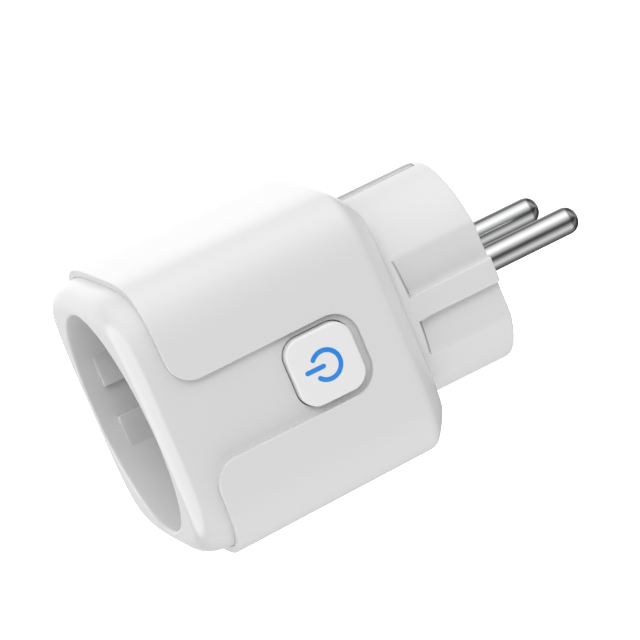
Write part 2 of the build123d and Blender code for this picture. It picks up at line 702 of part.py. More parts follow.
with BuildPart() as switch_plunger:
    with BuildSketch(Plane.YZ.offset(CX + 2.1)):
        with Locations((-BTN_D, 0)):
            Circle(1.7)
    extrude(amount=2.0)
    fillet(switch_plunger.edges().group_by(Axis.X)[-1], 0.15)
save(switch_plunger.part, "switch_plunger")

# ------------------------------------------------------------- button group
def icon_sketch():
    with BuildSketch(mode=Mode.PRIVATE) as s:
        with BuildLine():
            CenterArc((0, 0), ICON_R, 180 + 41, 360 - 82)
        trace(line_width=ICON_W)
        with BuildLine() as bar:
            Line((-3.75, 0), (-0.55, 0))
        trace(line_width=ICON_W)
    return s.sketch_local


BTN_TOP = 25.35
with BuildPart() as button_cap:
    with BuildSketch(Plane.YZ.offset(21.5)):
        with Locations((-BTN_D, 0)):
            RectangleRounded(2 * BTN_HALF, 2 * BTN_HALF, BTN_CORNER)
    extrude(amount=BTN_TOP - 21.5)
    fillet(button_cap.edges().group_by(Axis.X)[-1], 0.45)
    with BuildSketch(Plane.YZ.offset(20.6)):
        with Locations((-BTN_D, 0)):
            RectangleRounded(2 * BTN_HALF + 1.8, 2 * BTN_HALF + 1.8, BTN_CORNER + 0.9)
    extrude(amount=0.7)
    with BuildSketch(Plane.YZ.offset(CX + 4.13)):
        with Locations((-BTN_D, 0)):
            Circle(1.6)
    extrude(amount=1.0)
    with BuildSketch(Plane(origin=(BTN_TOP - ICON_T, -BTN_D, 0), x_dir=(0, 1, 0), z_dir=(1, 0, 0))):
        add(icon_sketch())
    extrude(amount=2, mode=Mode.SUBTRACT)
save(button_cap.part, "button_cap")

with BuildPart() as power_icon:
    with BuildSketch(Plane(origin=(BTN_TOP - ICON_T, -BTN_D, 0), x_dir=(0, 1, 0), z_dir=(1, 0, 0))):
        add(icon_sketch())
    extrude(amount=ICON_T)
save(power_icon.part, "power_icon")
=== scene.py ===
import json
import math
import bpy
import numpy as np
from mathutils import Matrix, Vector, geometry


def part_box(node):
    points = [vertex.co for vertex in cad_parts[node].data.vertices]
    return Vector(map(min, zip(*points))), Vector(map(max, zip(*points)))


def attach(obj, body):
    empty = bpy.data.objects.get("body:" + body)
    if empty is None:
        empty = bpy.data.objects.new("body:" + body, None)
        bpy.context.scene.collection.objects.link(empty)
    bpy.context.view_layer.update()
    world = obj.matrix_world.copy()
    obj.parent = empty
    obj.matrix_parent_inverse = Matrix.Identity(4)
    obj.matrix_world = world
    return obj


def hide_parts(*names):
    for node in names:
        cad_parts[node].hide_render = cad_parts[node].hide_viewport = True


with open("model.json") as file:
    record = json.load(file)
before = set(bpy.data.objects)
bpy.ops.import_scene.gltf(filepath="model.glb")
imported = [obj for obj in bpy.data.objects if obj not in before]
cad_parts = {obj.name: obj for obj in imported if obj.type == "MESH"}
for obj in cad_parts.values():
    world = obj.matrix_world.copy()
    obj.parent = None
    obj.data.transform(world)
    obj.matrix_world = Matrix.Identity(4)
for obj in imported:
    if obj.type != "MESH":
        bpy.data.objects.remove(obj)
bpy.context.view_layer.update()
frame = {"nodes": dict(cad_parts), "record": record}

MM = 0.001
COLS = 216            # columns round every skin
NEXP = 4.7            # roundness of the body's section


# ------------------------------------------------------------------ helpers
def half_at(d):
    return 24.4 + (np.asarray(d, float) - 18.0) / 42.3 * 0.79


def rpol(th):
    return (np.abs(np.cos(th)) ** NEXP + np.abs(np.sin(th)) ** NEXP) ** (-1.0 / NEXP)


def section(th, a, off):
    """Point of the body's section at polar angle th, half width a, moved inwards by off."""
    r = rpol(th)
    cx, cz = r * np.cos(th), r * np.sin(th)
    nx = np.sign(cx) * np.abs(cx) ** (NEXP - 1)
    nz = np.sign(cz) * np.abs(cz) ** (NEXP - 1)
    n = np.hypot(nx, nz)
    return a * cx - off * nx / n, a * cz - off * nz / n


_T = np.linspace(-math.pi, math.pi, 7201)
_x, _z = section(_T, 25.0, 0.0)
_S = np.concatenate([[0], np.cumsum(np.hypot(np.diff(_x), np.diff(_z)))])
_S -= np.interp(0.0, _T, _S)
PERIM = _S[-1] - _S[0]
_q = np.linspace(-math.pi / 4, math.pi / 4, 1801)
_zq = rpol(_q) * np.sin(_q)


def s_of_theta(th):
    return np.interp(th, _T, _S)


def theta_of_s(s):
    s = (np.asarray(s, float) - _S[0]) % PERIM + _S[0]
    return np.interp(s, _S, _T)


def s_of_z(z, d):
    """Place round the section of the point on the +X side at height z."""
    return s_of_theta(np.interp(np.asarray(z, float) / half_at(d), _zq, _q))


def skin(s, d, off):
    x, z = section(theta_of_s(s), half_at(d), off)
    return np.stack([x, -np.asarray(d, float) * np.ones_like(x), z], -1)


class Build:
    """Collects rings and faces in millimetres and makes one closed mesh."""

    def __init__(self):
        self.v, self.f = [], []

    def add(self, pts):
        pts = np.asarray(pts, float).reshape(-1, 3)
        i = len(self.v)
        self.v.extend(pts.tolist())
        return np.arange(i, i + len(pts))

    def bridge(self, a, b, closed=True):
        n = len(a)
        for k in range(n if closed else n - 1):
            m = (k + 1) % n
            self.f.append((int(a[k]), int(a[m]), int(b[m]), int(b[k])))

    def rings(self, rows, closed=True):
        ids = [self.add(r) for r in rows]
        for a, b in zip(ids[:-1], ids[1:]):
            self.bridge(a, b, closed)
        return ids

    def quads(self, g, use):
        """g is an index grid [i, j]; use says which cells are filled."""
        for i in range(g.shape[0] - 1):
            for j in range(g.shape[1] - 1):
                if use(i, j):
                    self.f.append((int(g[i, j]), int(g[i, j + 1]), int(g[i + 1, j + 1]), int(g[i + 1, j])))

    def cap(self, loops, spots=()):
        """Fills a flat face (constant y) bounded by the outer loop and any hole loops, with extra inner points."""
        idx = [int(i) for l in loops for i in l]
        pts = [self.v[i] for i in idx]
        y = pts[0][1]
        extra = [(x, y, z) for x, z in spots]
        eids = self.add(extra) if extra else []
        co = [Vector((p[0], p[2])) for p in pts + extra]
        edges, k = [], 0
        for l in loops:
            n = len(l)
            edges += [(k + a, k + (a + 1) % n) for a in range(n)]
            k += n
        vo, eo, fo, ov, oe, of_ = geometry.delaunay_2d_cdt(co, edges, [], 0, 1e-7)
        ids = idx + [int(i) for i in eids]
        polys = []
        k = 0
        for l in loops:
            polys.append(np.array([[co[k + a][0], co[k + a][1]] for a in range(len(l))]))
            k += len(l)
        for f in fo:
            c = np.mean([[vo[i][0], vo[i][1]] for i in f], 0)
            if inside(c, polys[0]) and not any(inside(c, p) for p in polys[1:]):
                self.f.append(tuple(ids[ov[i][0]] for i in f))

    def make(self, name, body, slot, mat, nodes=(), smooth=35.0):
        me = bpy.data.meshes.new(name)
        me.from_pydata([tuple(c * MM for c in p) for p in self.v], [], self.f)
        me.validate()
        import bmesh
        bm = bmesh.new()
        bm.from_mesh(me)
        bmesh.ops.remove_doubles(bm, verts=bm.verts, dist=1e-7)
        bmesh.ops.dissolve_degenerate(bm, dist=1e-7, edges=bm.edges)
        bmesh.ops.recalc_face_normals(bm, faces=bm.faces)
        if bm.calc_volume(signed=True) < 0:
            bmesh.ops.reverse_faces(bm, faces=bm.faces)
        bad = [e for e in bm.edges if not e.is_manifold]
        print("mesh", name, "faces", len(bm.faces), "open or shared edges", len(bad), "volume mm3", round(bm.calc_volume() * 1e9, 1))
        for f in bm.faces:
            f.smooth = True
        for e in bm.edges:
            if len(e.link_faces) == 2 and e.calc_face_angle(0) > math.radians(smooth):
                e.smooth = False
        bm.to_mesh(me)
        bm.free()
        me.materials.append(mat)
        ob = bpy.data.objects.new(name, me)
        bpy.context.scene.collection.objects.link(ob)
        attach(ob, body)
        if nodes:
            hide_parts(*nodes)
        return ob


def inside(p, poly):
    x, y = p
    a, b = poly, np.roll(poly, -1, 0)
    t = ((a[:, 1] > y) != (b[:, 1] > y))
    with np.errstate(divide="ignore", invalid="ignore"):
        xs = (b[:, 0] - a[:, 0]) * (y - a[:, 1]) / (b[:, 1] - a[:, 1]) + a[:, 0]
    return bool(np.sum(t & (x < xs)) % 2)


def ring_xz(x, z, d):
    x = np.asarray(x, float)
    return np.stack([x, -np.asarray(d, float) * np.ones_like(x), np.asarray(z, float)], -1)


def circle(th, r, d):
    return ring_xz(r * np.cos(th), r * np.sin(th), d)


def relax(S, D, free, n=400):
    for _ in range(n):
        for A in (S, D):
            m = (A[:-2, 1:-1] + A[2:, 1:-1] + A[1:-1, :-2] + A[1:-1, 2:]) / 4
            A[1:-1, 1:-1] = np.where(free[1:-1, 1:-1], m, A[1:-1, 1:-1])


def along(path, frac):
    """Point and outward normal at a fraction of a path of ('line', p, q, n) and ('arc', c, r, a0, a1, sign) pieces, in (z, d)."""
    lens = []
    for e in path:
        lens.append(math.dist(e[1], e[2]) if e[0] == "line" else abs(e[4] - e[3]) * e[2])
    t = frac * sum(lens)
    for e, l in zip(path, lens):
        if t <= l + 1e-9:
            k = t / l
            if e[0] == "line":
                return tuple(np.array(e[1]) + (np.array(e[2]) - np.array(e[1])) * k), e[3]
            a = e[3] + (e[4] - e[3]) * k
            u = (math.cos(a), math.sin(a))
            return (e[1][0] + e[2] * u[0], e[1][1] + e[2] * u[1]), (e[5] * u[0], e[5] * u[1])
        t -= l
    return tuple(path[-1][2]), path[-1][3]


TH = np.arange(COLS) * 2 * math.pi / COLS          # columns 0..215, column 0 on +X
JW = COLS // 2


def wrap_section(quadrant):
    """Full section of COLS points from the 55 points of the +X+Z quadrant (index 0 on +X, 54 on +Z)."""
    q = np.asarray(quadrant, float)
    a = q[:-1]
    b = np.stack([-q[::-1][:-1, 0], q[::-1][:-1, 1]], -1)
    c = -a
    d = np.stack([q[::-1][:-1, 0], -q[::-1][:-1, 1]], -1)
    return np.concatenate([a, b, c, d])


def deg(a):
    return a * math.pi / 180


# --------------------------------------------------------------- plug base
PLUG_R, FLAT_X, FLAT_D, RIB_X, RIB_H, GROOVE = 18.65, 16.45, 16.1, 18.1, 2.2, 1.4


def plug_quadrant(flats, groove, rib=RIB_X, size=PLUG_R, dip=0.0):
    """Quadrant of the plug base: guide rib on +X, flat beside it, round to +Z where the earth strip lies."""
    ref = [(RIB_X, z) for z in (0, 0.5, 1.0, 1.5, 2.0)]
    ref += [(RIB_X - 0.2 + 0.2 * math.cos(deg(a)), 2.0 + 0.2 * math.sin(deg(a))) for a in (30, 60, 90)]
    ref += [(17.25, RIB_H), (16.6, RIB_H)]
    ref += [(16.6 - 0.15 * math.sin(deg(a)), 2.35 - 0.15 * math.cos(deg(a))) for a in (45, 90)]
    ref += [(FLAT_X, z) for z in (3.0, 3.8, 4.7, 5.6, 6.5, 7.4, 8.2)]
    corner = math.acos(FLAT_X / PLUG_R)
    ref.append((PLUG_R * math.cos(corner), PLUG_R * math.sin(corner)))
    rim = math.acos(GROOVE / PLUG_R)
    angles = [math.atan2(z, x) for x, z in ref]
    angles += list(np.linspace(corner, rim, 32)[1:-1])
    angles += [rim, rim + deg(0.7), math.acos(0.95 / PLUG_R), math.acos(0.48 / PLUG_R), math.pi / 2]
    out = []
    for i, a in enumerate(angles):
        if i < 20 and flats:
            x, z = ref[i]
            if i < 10:
                x = min(x + (rib - RIB_X) * (x - FLAT_X) / (RIB_X - FLAT_X), math.sqrt(PLUG_R ** 2 - z * z))
            if 10 <= i < 19:
                x -= dip
            out.append((x, z))
        elif i >= 51 and groove:
            out.append(((GROOVE, 0.95, 0.48, 0.0)[i - 51], 18.02))
        else:
            out.append((size * math.cos(a), size * math.sin(a)))
    return out


def outline(kind):
    return wrap_section(plug_quadrant(*kind))


# --------------------------------------------- skin grids with a shaped cut
def skin_grid(rows, jc, ic0, ic1, path_nodes):
    """Grid of (s, d) over the whole skin, relaxed round a cut. path_nodes maps (i, j) to (z, d, nz, nd)."""
    nr = len(rows)
    js = np.arange(-JW, JW + 1)
    S = np.tile(s_of_theta(js * 2 * math.pi / COLS), (nr, 1))
    D = np.tile(np.asarray(rows, float)[:, None], (1, len(js)))
    free = np.ones_like(S, bool)
    free[:, :JW - jc - 26] = False
    free[:, JW + jc + 27:] = False
    N = {}
    for (i, j), (z, d, nz, nd) in path_nodes.items():
        S[i, j + JW] = s_of_z(z, d)
        D[i, j + JW] = d
        free[i, j + JW] = False
        N[(i, j)] = (nz, nd)
    hole = np.zeros_like(free)
    hole[ic0 + 1:ic1, JW - jc + 1:JW + jc] = True
    free &= ~hole
    free[0] = False
    free[-1] = False
    relax(S, D, free, 500)
    return S, D, N


def add_grid(b, S, D, off):
    nr, nc = S.shape
    ids = np.zeros((nr, nc), int)
    for i in range(nr):
        ids[i, :-1] = b.add(skin(S[i, :-1], D[i, :-1], off))
    ids[:, -1] = ids[:, 0]
    return ids


def korder(row):
    """A grid row's vertices in the order of TH."""
    return np.roll(row[:-1], -JW)


# ------------------------------------------------- outline of the front notch
RF = 0.16
NOTCH_REAR = 27.8


def notch_nodes(grow, i0, i1, jc, m):
    """Boundary nodes of the rear shell's front edge and side notch; grow moves it into the material."""
    zf, df, rf_ = 11.95, 55.7, 4.6 - grow
    zr, dr, rr = 2.65, NOTCH_REAR + 4.7, 4.7 + grow
    side = 7.35 + grow
    zfar = half_at(60.3) * rpol((jc + m) * 2 * math.pi / COLS) * math.sin((jc + m) * 2 * math.pi / COLS)
    front = [("line", (float(zfar), 60.3 - grow), (zf, 60.3 - grow), (0, 1)), ("arc", (zf, df), rf_, math.pi / 2, 3 * math.pi / 4, 1)]
    flank = [("arc", (zf, df), rf_, 3 * math.pi / 4, math.pi, 1), ("line", (side, df), (side, dr), (-1, 0)), ("arc", (zr, dr), rr, 0, -math.pi / 4, -1)]
    rear = [("arc", (zr, dr), rr, -math.pi / 4, -math.pi / 2, -1), ("line", (zr, dr - rr), (0, dr - rr), (0, 1))]
    out = {}

    def put(i, j, p, n):
        out[(i, j)] = (p[0], p[1], n[0], n[1])
        if j:
            out[(i, -j)] = (-p[0], p[1], -n[0], n[1])

    for k in range(m + 1):
        put(i1, jc + m - k, *along(front, k / m))
    for k in range(1, i1 - i0 + 1):
        put(i1 - k, jc, *along(flank, k / (i1 - i0)))
    for k in range(1, jc + 1):
        put(i0, jc - k, *along(rear, k / jc))
    return out


COLLAR_R = 1.05
BEVEL_W, BEVEL_D, BEVEL_BULGE, CREASE = 4.6, 21.5, 0.22, 0.9


def back_profile():
    """The wide bevel round the back, as (inset, depth) from the flat back to the side: faintly convex, softened at both ends."""
    t = np.linspace(0, 1, 81)
    ln = math.hypot(BEVEL_W, BEVEL_D - 18.0)
    off = BEVEL_W * (1 - t) - BEVEL_BULGE * 4 * t * (1 - t) * (BEVEL_D - 18.0) / ln
    d = 18.0 + (BEVEL_D - 18.0) * t - BEVEL_BULGE * 4 * t * (1 - t) * BEVEL_W / ln
    keep = d > 18.0
    keep[0] = True
    off, d = off[keep], np.maximum(d[keep], 18.0)
    off, d = np.append(off, 0.0), np.append(d, BEVEL_D + 3.0)
    arc = np.concatenate([[0], np.cumsum(np.hypot(np.diff(off), np.diff(d)))])
    s_end = arc[-2]
    fine = np.linspace(0, arc[-1], 1201)
    fo, fd = np.interp(fine, arc, off), np.interp(fine, arc, d)
    step = fine[1]
    k = int(CREASE / step)
    ker = np.ones(2 * k + 1) / (2 * k + 1)
    so = np.convolve(np.pad(fo, k, mode="edge"), ker, "valid")
    sd = np.convolve(np.pad(fd, k, mode="edge"), ker, "valid")
    w = np.clip((fine - (s_end - 2.2)) / 0.5, 0, 1) * np.clip((arc[-1] - CREASE - 0.1 - fine) / 0.3, 0, 1)
    so, sd = fo + (so - fo) * w, fd + (sd - fd) * w
    pick = np.concatenate([np.linspace(0, s_end - 1.6, 7), np.linspace(s_end - 1.6, s_end + 1.4, 12)[1:]])
    return [(float(np.interp(q, fine, so)), float(np.interp(q, fine, sd))) for q in pick]


def rear_shell():
    b = Build()
    s0 = outline((True, False))
    sg = outline((True, True))
    plain = outline((False, False))
    e = 0.45
    nose = []
    for k in range(6):
        p = deg(18 * k)
        f = 1 - e * (1 - math.sin(p)) / PLUG_R
        nose.append(ring_xz(s0[:, 0] * f, s0[:, 1] * f, e * (1 - math.cos(p))))
    rows = nose + [ring_xz(*s0.T, 1.0), ring_xz(*s0.T, 1.45), ring_xz(*sg.T, 1.45)]
    rows += [ring_xz(*sg.T, d) for d in (1.8, 3, 5, 7, 9, 11, 12.6)]
    rise = np.clip(np.sqrt(np.maximum(PLUG_R ** 2 - s0[:, 1] ** 2, 0)) - FLAT_X, 0, 2.2)
    lip = 16.1 - 0.25 * rise - 0.36
    for d, dip, at_ in ((13.2, 0, 13.2), (13.8, 0, 13.8), (14.4, 0, 14.4), (14.9, 0, 14.9), (lip - 0.04, 0, 15.4), (lip - 0.01, 0.06, 15.42), (lip, 0.32, 15.45), (16.1, 0.32, 16.1)):
        t = (at_ - 12.6) / 3.5
        rows.append(ring_xz(*wrap_section(plug_quadrant(True, True, RIB_X + 0.62 * t * t * (3 - 2 * t), dip=dip)).T, d))
    rows.append(ring_xz(*plain.T, 16.1))
    rows.append(ring_xz(*plain.T, 16.6))
    for k in range(1, 9):
        p = deg(90 * k / 8)
        f = (PLUG_R + COLLAR_R * (1 - math.cos(p))) / PLUG_R
        rows.append(ring_xz(*(plain * f).T, 18 - COLLAR_R + COLLAR_R * math.sin(p)))
    foot = plain * (PLUG_R + COLLAR_R) / PLUG_R
    bevel = back_profile()
    hx, hz = section(TH, half_at(18), bevel[0][0])
    for t in (0.15, 0.35, 0.6, 0.85, 1.0):
        rows.append(ring_xz(foot[:, 0] + (hx - foot[:, 0]) * t, foot[:, 1] + (hz - foot[:, 1]) * t, 18.0))
    for off, d in bevel[1:]:
        rows.append(ring_xz(*section(TH, half_at(d), off), d))
    ids = b.rings(rows)
    # outer skin with the notch
    i0, i1, jc, m = 8, 44, 10, 8
    drow = list(np.linspace(23.1, NOTCH_REAR - RF, i0 + 1)) + list(np.linspace(NOTCH_REAR - RF, 60.3 - RF, i1 - i0 + 1))[1:]
    pn = notch_nodes(RF, i0, i1, jc, m)
    S, D, N = skin_grid(drow, jc, i0, i1, pn)
    D[i1, :JW - jc - m] = 60.3 - RF
    D[i1, JW + jc + m + 1:] = 60.3 - RF
    g = add_grid(b, S, D, 0.0)

    def solid(i, j):
        return not (i0 <= i < i1 and JW - jc <= j < JW + jc)

    b.quads(g, solid)
    b.bridge(ids[-1], korder(g[0]))
    # rounded edge along the front and the notch, then the wall
    loop = [(i1, j) for j in range(jc, 2 * JW - jc + 1)]
    loop += [(i, -jc) for i in range(i1 - 1, i0 - 1, -1)]
    loop += [(i0, j) for j in range(-jc + 1, jc + 1)]
    loop += [(i, jc) for i in range(i0 + 1, i1)]

    def at(i, j):
        jj = j if j <= JW else j - 2 * JW
        n = N.get((i, jj), (0.0, 1.0))
        return S[i, jj + JW], D[i, jj + JW], n[0], n[1], g[i, jj + JW]

    L = [at(*q) for q in loop]
    base = np.array([int(q[4]) for q in L])
    ls, ld = np.array([q[0] for q in L]), np.array([q[1] for q in L])
    nn = np.array([q[2:4] for q in L], float)
    nn /= np.hypot(*nn.T)[:, None]
    prev = base
    for k in range(1, 7):
        p = deg(15 * k)
        r = b.add(skin(ls + nn[:, 0] * RF * math.sin(p), ld + nn[:, 1] * RF * math.sin(p), RF * (1 - math.cos(p))))
        b.bridge(prev, r)
        prev = r
    for off in (0.75, 1.27):
        r = b.add(skin(ls + nn[:, 0] * RF, ld + nn[:, 1] * RF, off))
        b.bridge(prev, r)
        prev = r
    # inner skin
    pn2 = notch_nodes(0.0, i0, i1, jc, m)
    drow2 = list(np.linspace(23.1, NOTCH_REAR, i0 + 1)) + list(np.linspace(NOTCH_REAR, 60.3, i1 - i0 + 1))[1:]
    S2, D2, _ = skin_grid(drow2, jc, i0, i1, pn2)
    for q, s_, d_ in zip(loop, ls + nn[:, 0] * RF, ld + nn[:, 1] * RF):
        jj = q[1] if q[1] <= JW else q[1] - 2 * JW
        S2[q[0], jj + JW], D2[q[0], jj + JW] = s_, d_
        if jj == -JW:
            S2[q[0], 2 * JW], D2[q[0], 2 * JW] = s_ + PERIM, d_
    g2 = add_grid(b, S2, D2, 1.27)
    for q, v in zip(loop, prev):
        jj = q[1] if q[1] <= JW else q[1] - 2 * JW
        g2[q[0], jj + JW] = v
        if abs(jj) == JW:
            g2[q[0], 0] = g2[q[0], 2 * JW] = v
    b.quads(g2, solid)
    # back wall from inside, cavity of the plug base, inner face of the plug
    q = []
    cav = math.acos(14.7 / 16.4)
    for i, a in enumerate(np.arctan2(*np.array(plug_quadrant(False, False)).T[::-1])):
        q.append((14.7, 14.7 * math.tan(a)) if a < cav else (16.4 * math.cos(a), 16.4 * math.sin(a)))
    cv = wrap_section(q)
    k0 = korder(g2[0])
    ox, oz = section(TH, half_at(20.4), 3.7)
    inner = [ring_xz(*section(TH, half_at(22.2), 1.35), 22.2), ring_xz(ox, oz, 20.4)]
    for t in (0.3, 0.6, 1.0):
        inner.append(ring_xz(ox + (cv[:, 0] - ox) * t, oz + (cv[:, 1] - oz) * t, 20.4))
    inner += [ring_xz(*cv.T, d) for d in (14, 8, 2.2)]
    ii = b.rings(inner)
    b.bridge(k0, ii[0])
    # pin holes through the plug's face
    a = np.arange(48) * 2 * math.pi / 48
    outer_holes, inner_holes = [], []
    for sx in (-9.5, 9.5):
        hs = [b.add(circle(a, r, d) + [sx, 0, 0]) for r, d in ((2.72, 0.0), (2.62, 0.04), (2.5, 0.2), (2.44, 0.45), (2.44, 2.2))]
        for u, v in zip(hs[:-1], hs[1:]):
            b.bridge(u, v)
        outer_holes.append(hs[0])
        inner_holes.append(hs[-1])
    b.cap([ids[0], *outer_holes], [(r * math.cos(t), r * math.sin(t)) for r, n in ((5, 10), (13.5, 24)) for t in np.arange(n) * 2 * math.pi / n if abs(abs(r * math.cos(t)) - 9.5) > 3.6 or abs(r * math.sin(t)) > 3.6])
    b.cap([ii[-1], *inner_holes])
    return b


# --------------------------------------------------------- housing and recess
BTN_D0, HOLE, HOLE_R, RE = 35.4, 6.3, 3.4, 0.1
REC_R, MOUTH_R, FRONT_D, RIM = 20.2, 20.75, 65.9, 3.7


def hole_nodes(grow, i0, i1, jc):
    h, r = HOLE + grow, HOLE_R + grow
    c = h - r
    q1 = [("line", (0, BTN_D0 - h), (c, BTN_D0 - h), (0, 1)), ("arc", (c, BTN_D0 - c), r, -math.pi / 2, -math.pi / 4, -1)]
    q2 = [("arc", (c, BTN_D0 - c), r, -math.pi / 4, 0, -1), ("line", (h, BTN_D0 - c), (h, BTN_D0), (-1, 0))]
    n = (i1 - i0) // 2
    mid = (i0 + i1) // 2
    out = {}

    def put(i, j, p, nv):
        for si in (1, -1):
            for sj in (1, -1):
                out[(mid + si * i, sj * j)] = (sj * p[0], BTN_D0 + si * (BTN_D0 - p[1]), sj * nv[0], -si * nv[1])

    for k in range(jc + 1):
        p, nv = along(q1, k / jc)
        put(n, k, p, nv)
    for k in range(n + 1):
        p, nv = along(q2, k / n)
        put(n - k, jc, p, nv)
    return out


def recess_quadrant(blocks, pockets, depth=17.3):
    ring = [math.asin(z / REC_R) for z in (0, 1.0, 2.0, 2.9)]
    a3, a13 = ring[3], math.asin(8.85 / REC_R)
    ring += [a3 + (a13 - a3) * k / 10 for k in range(1, 10)] + [a13]
    rim = math.acos(3.4 / REC_R)
    ring += list(np.linspace(a13, rim, 36)[1:-1]) + list(np.linspace(rim, math.pi / 2, 7))
    pts = [(REC_R * math.cos(a), REC_R * math.sin(a)) for a in ring]
    if blocks:
        x = depth
        zc = math.sqrt(REC_R ** 2 - x * x) - 3.02      # the flat runs out into the round wall
        pts[4:13] = [(19.2, 2.9), (x + 0.12, 2.9), (x, 3.02)] + [(x, 3.02 + zc * t) for t in (0.2, 0.4, 0.6, 0.8, 0.95)] + [(x, 3.02 + zc)]
    if pockets:
        pts[49:55] = [(3.4, 20.6), (3.4, 21.3), (2.4, 21.3), (1.5, 21.3), (0.75, 21.3), (0.0, 21.3)]
    return pts


def front_housing():
    b = Build()
    i0, i1, jc = 9, 27, 9
    drow = list(np.linspace(22.6, BTN_D0 - HOLE - RE, i0 + 1)) + list(np.linspace(BTN_D0 - HOLE - RE, BTN_D0 + HOLE + RE, i1 - i0 + 1))[1:] + list(np.linspace(BTN_D0 + HOLE + RE, FRONT_D - RIM, 21))[1:]
    S, D, N = skin_grid(drow, jc, i0, i1, hole_nodes(RE, i0, i1, jc))
    g = add_grid(b, S, D, 1.3)

    def solid(i, j):
        return not (i0 <= i < i1 and JW - jc <= j < JW + jc)

    b.quads(g, solid)
    # inner skin
    last = len(drow) - 1
    drow2 = drow[:]
    drow2[-1] = 62.0
    S2, D2, _ = skin_grid(drow2, jc, i0, i1, hole_nodes(0.0, i0, i1, jc))
    g2 = add_grid(b, S2, D2, 3.0)
    b.quads(g2, solid)
    # rounded edge and wall of the button opening
    loop = [(i0, j) for j in range(-jc, jc)] + [(i, jc) for i in range(i0, i1)] + [(i1, j) for j in range(jc, -jc, -1)] + [(i, -jc) for i in range(i1, i0, -1)]
    ls = np.array([S[i, j + JW] for i, j in loop])
    ld = np.array([D[i, j + JW] for i, j in loop])
    nn = np.array([N[q] for q in loop], float)
    nn /= np.hypot(*nn.T)[:, None]
    prev = np.array([int(g[i, j + JW]) for i, j in loop])
    for k in range(1, 6):
        p = deg(18 * k)
        r = b.add(skin(ls + nn[:, 0] * RE * math.sin(p), ld + nn[:, 1] * RE * math.sin(p), 1.3 + RE * (1 - math.cos(p))))
        b.bridge(prev, r)
        prev = r
    b.bridge(prev, np.array([int(g2[i, j + JW]) for i, j in loop]))
    # rear rim
    b.bridge(korder(g[0]), korder(g2[0]))
    # rounded front down to the mouth
    a61 = float(half_at(FRONT_D - RIM))
    px, pz = section(TH, a61, 1.3)
    qx, qz = section(TH, a61, 2.3)
    nx, nz = qx - px, qz - pz
    bq = px * nx + pz * nz
    w_end = -bq - np.sqrt(bq * bq - (px * px + pz * pz - MOUTH_R ** 2))
    w_end = np.where(np.isfinite(w_end), np.minimum(w_end, RIM), RIM)
    amax = np.arccos(np.clip(1 - w_end / RIM, 0, 1))
    r5 = np.hypot(px + nx * RIM, pz + nz * RIM)
    flat = np.where(w_end >= RIM - 1e-6, np.maximum(r5 - MOUTH_R, 0), 0.0)
    total = RIM * amax + flat
    front = []
    nf = 24
    for k in range(1, nf + 1):
        ln = total * k / nf
        al = np.minimum(ln / RIM, amax)
        w = RIM * (1 - np.cos(al))
        d = FRONT_D - RIM + RIM * np.sin(al)
        grow = (half_at(d) - a61) * (1 - w / 8)
        x = px + nx * w + grow * px / a61
        z = pz + nz * w + grow * pz / a61
        r = np.hypot(x, z)
        cut = np.maximum(ln - RIM * amax, 0)
        front.append(ring_xz(x * (r - cut) / r, z * (r - cut) / r, d))
    f = b.rings(front)
    b.bridge(korder(g[last]), f[0])
    mx, mz = front[-1][:, 0], front[-1][:, 2]
    dm = -front[-1][:, 1]
    am = np.unwrap(np.arctan2(mz, mx))
    mr = np.hypot(mx, mz)
    # mouth fillet and recess wall
    plain = wrap_section(recess_quadrant(False, False))
    ap = np.unwrap(np.arctan2(plain[:, 1], plain[:, 0]))
    rows = []
    slope = math.pi / 2 - amax
    for k in range(1, 8):
        p = slope + (math.pi / 2 - slope) * k / 7
        r = mr - 0.55 * (np.sin(p) - np.sin(slope)) / (1 - np.sin(slope) + 1e-9) * (mr - REC_R) / 0.55
        d = dm - 0.55 * (np.cos(slope) - np.cos(p))
        rows.append(ring_xz(r * np.cos(am), r * np.sin(am), d))
    dl = -rows[-1][:, 1]
    for t in (0.15, 0.35, 0.6, 0.8, 1.0):
        u = am + (ap - am) * t
        rows.append(ring_xz(REC_R * np.cos(u), REC_R * np.sin(u), dl + (62.5 - dl) * t))
    bk = [wrap_section(recess_quadrant(True, False, x)) for x in (18.45, 18.3, 18.22)]
    rows += [ring_xz(*bk[0].T, 62.5), ring_xz(*bk[1].T, 62.42), ring_xz(*bk[2].T, 62.2), ring_xz(*bk[2].T, 62.0)]
    bp = wrap_section(recess_quadrant(True, True, 18.22))
    rows += [ring_xz(*bp.T, d) for d in (62.0, 58.5, 55.0, 52.0, 48.5)]
    r = b.rings(rows)
    b.bridge(f[-1], r[0])
    # floor with the pin holes, cup from outside, inner front wall
    a = np.arange(48) * 2 * math.pi / 48
    near, far = [], []
    for sx in (-9.5, 9.5):
        hs = [b.add(circle(a, rr, d) + [sx, 0, 0]) for rr, d in ((3.1, 48.5), (2.95, 48.44), (2.78, 48.25), (2.7, 47.95), (2.7, 46.5))]
        for u, v in zip(hs[:-1], hs[1:]):
            b.bridge(u, v)
        near.append(hs[0])
        far.append(hs[-1])
    b.cap([r[-1], *near])
    cup = [circle(ap, 21.7, d) for d in (46.5, 51, 56, 62.0)]
    c = b.rings(cup)
    b.cap([c[0], *far])
    b.bridge(c[-1], korder(g2[last]))
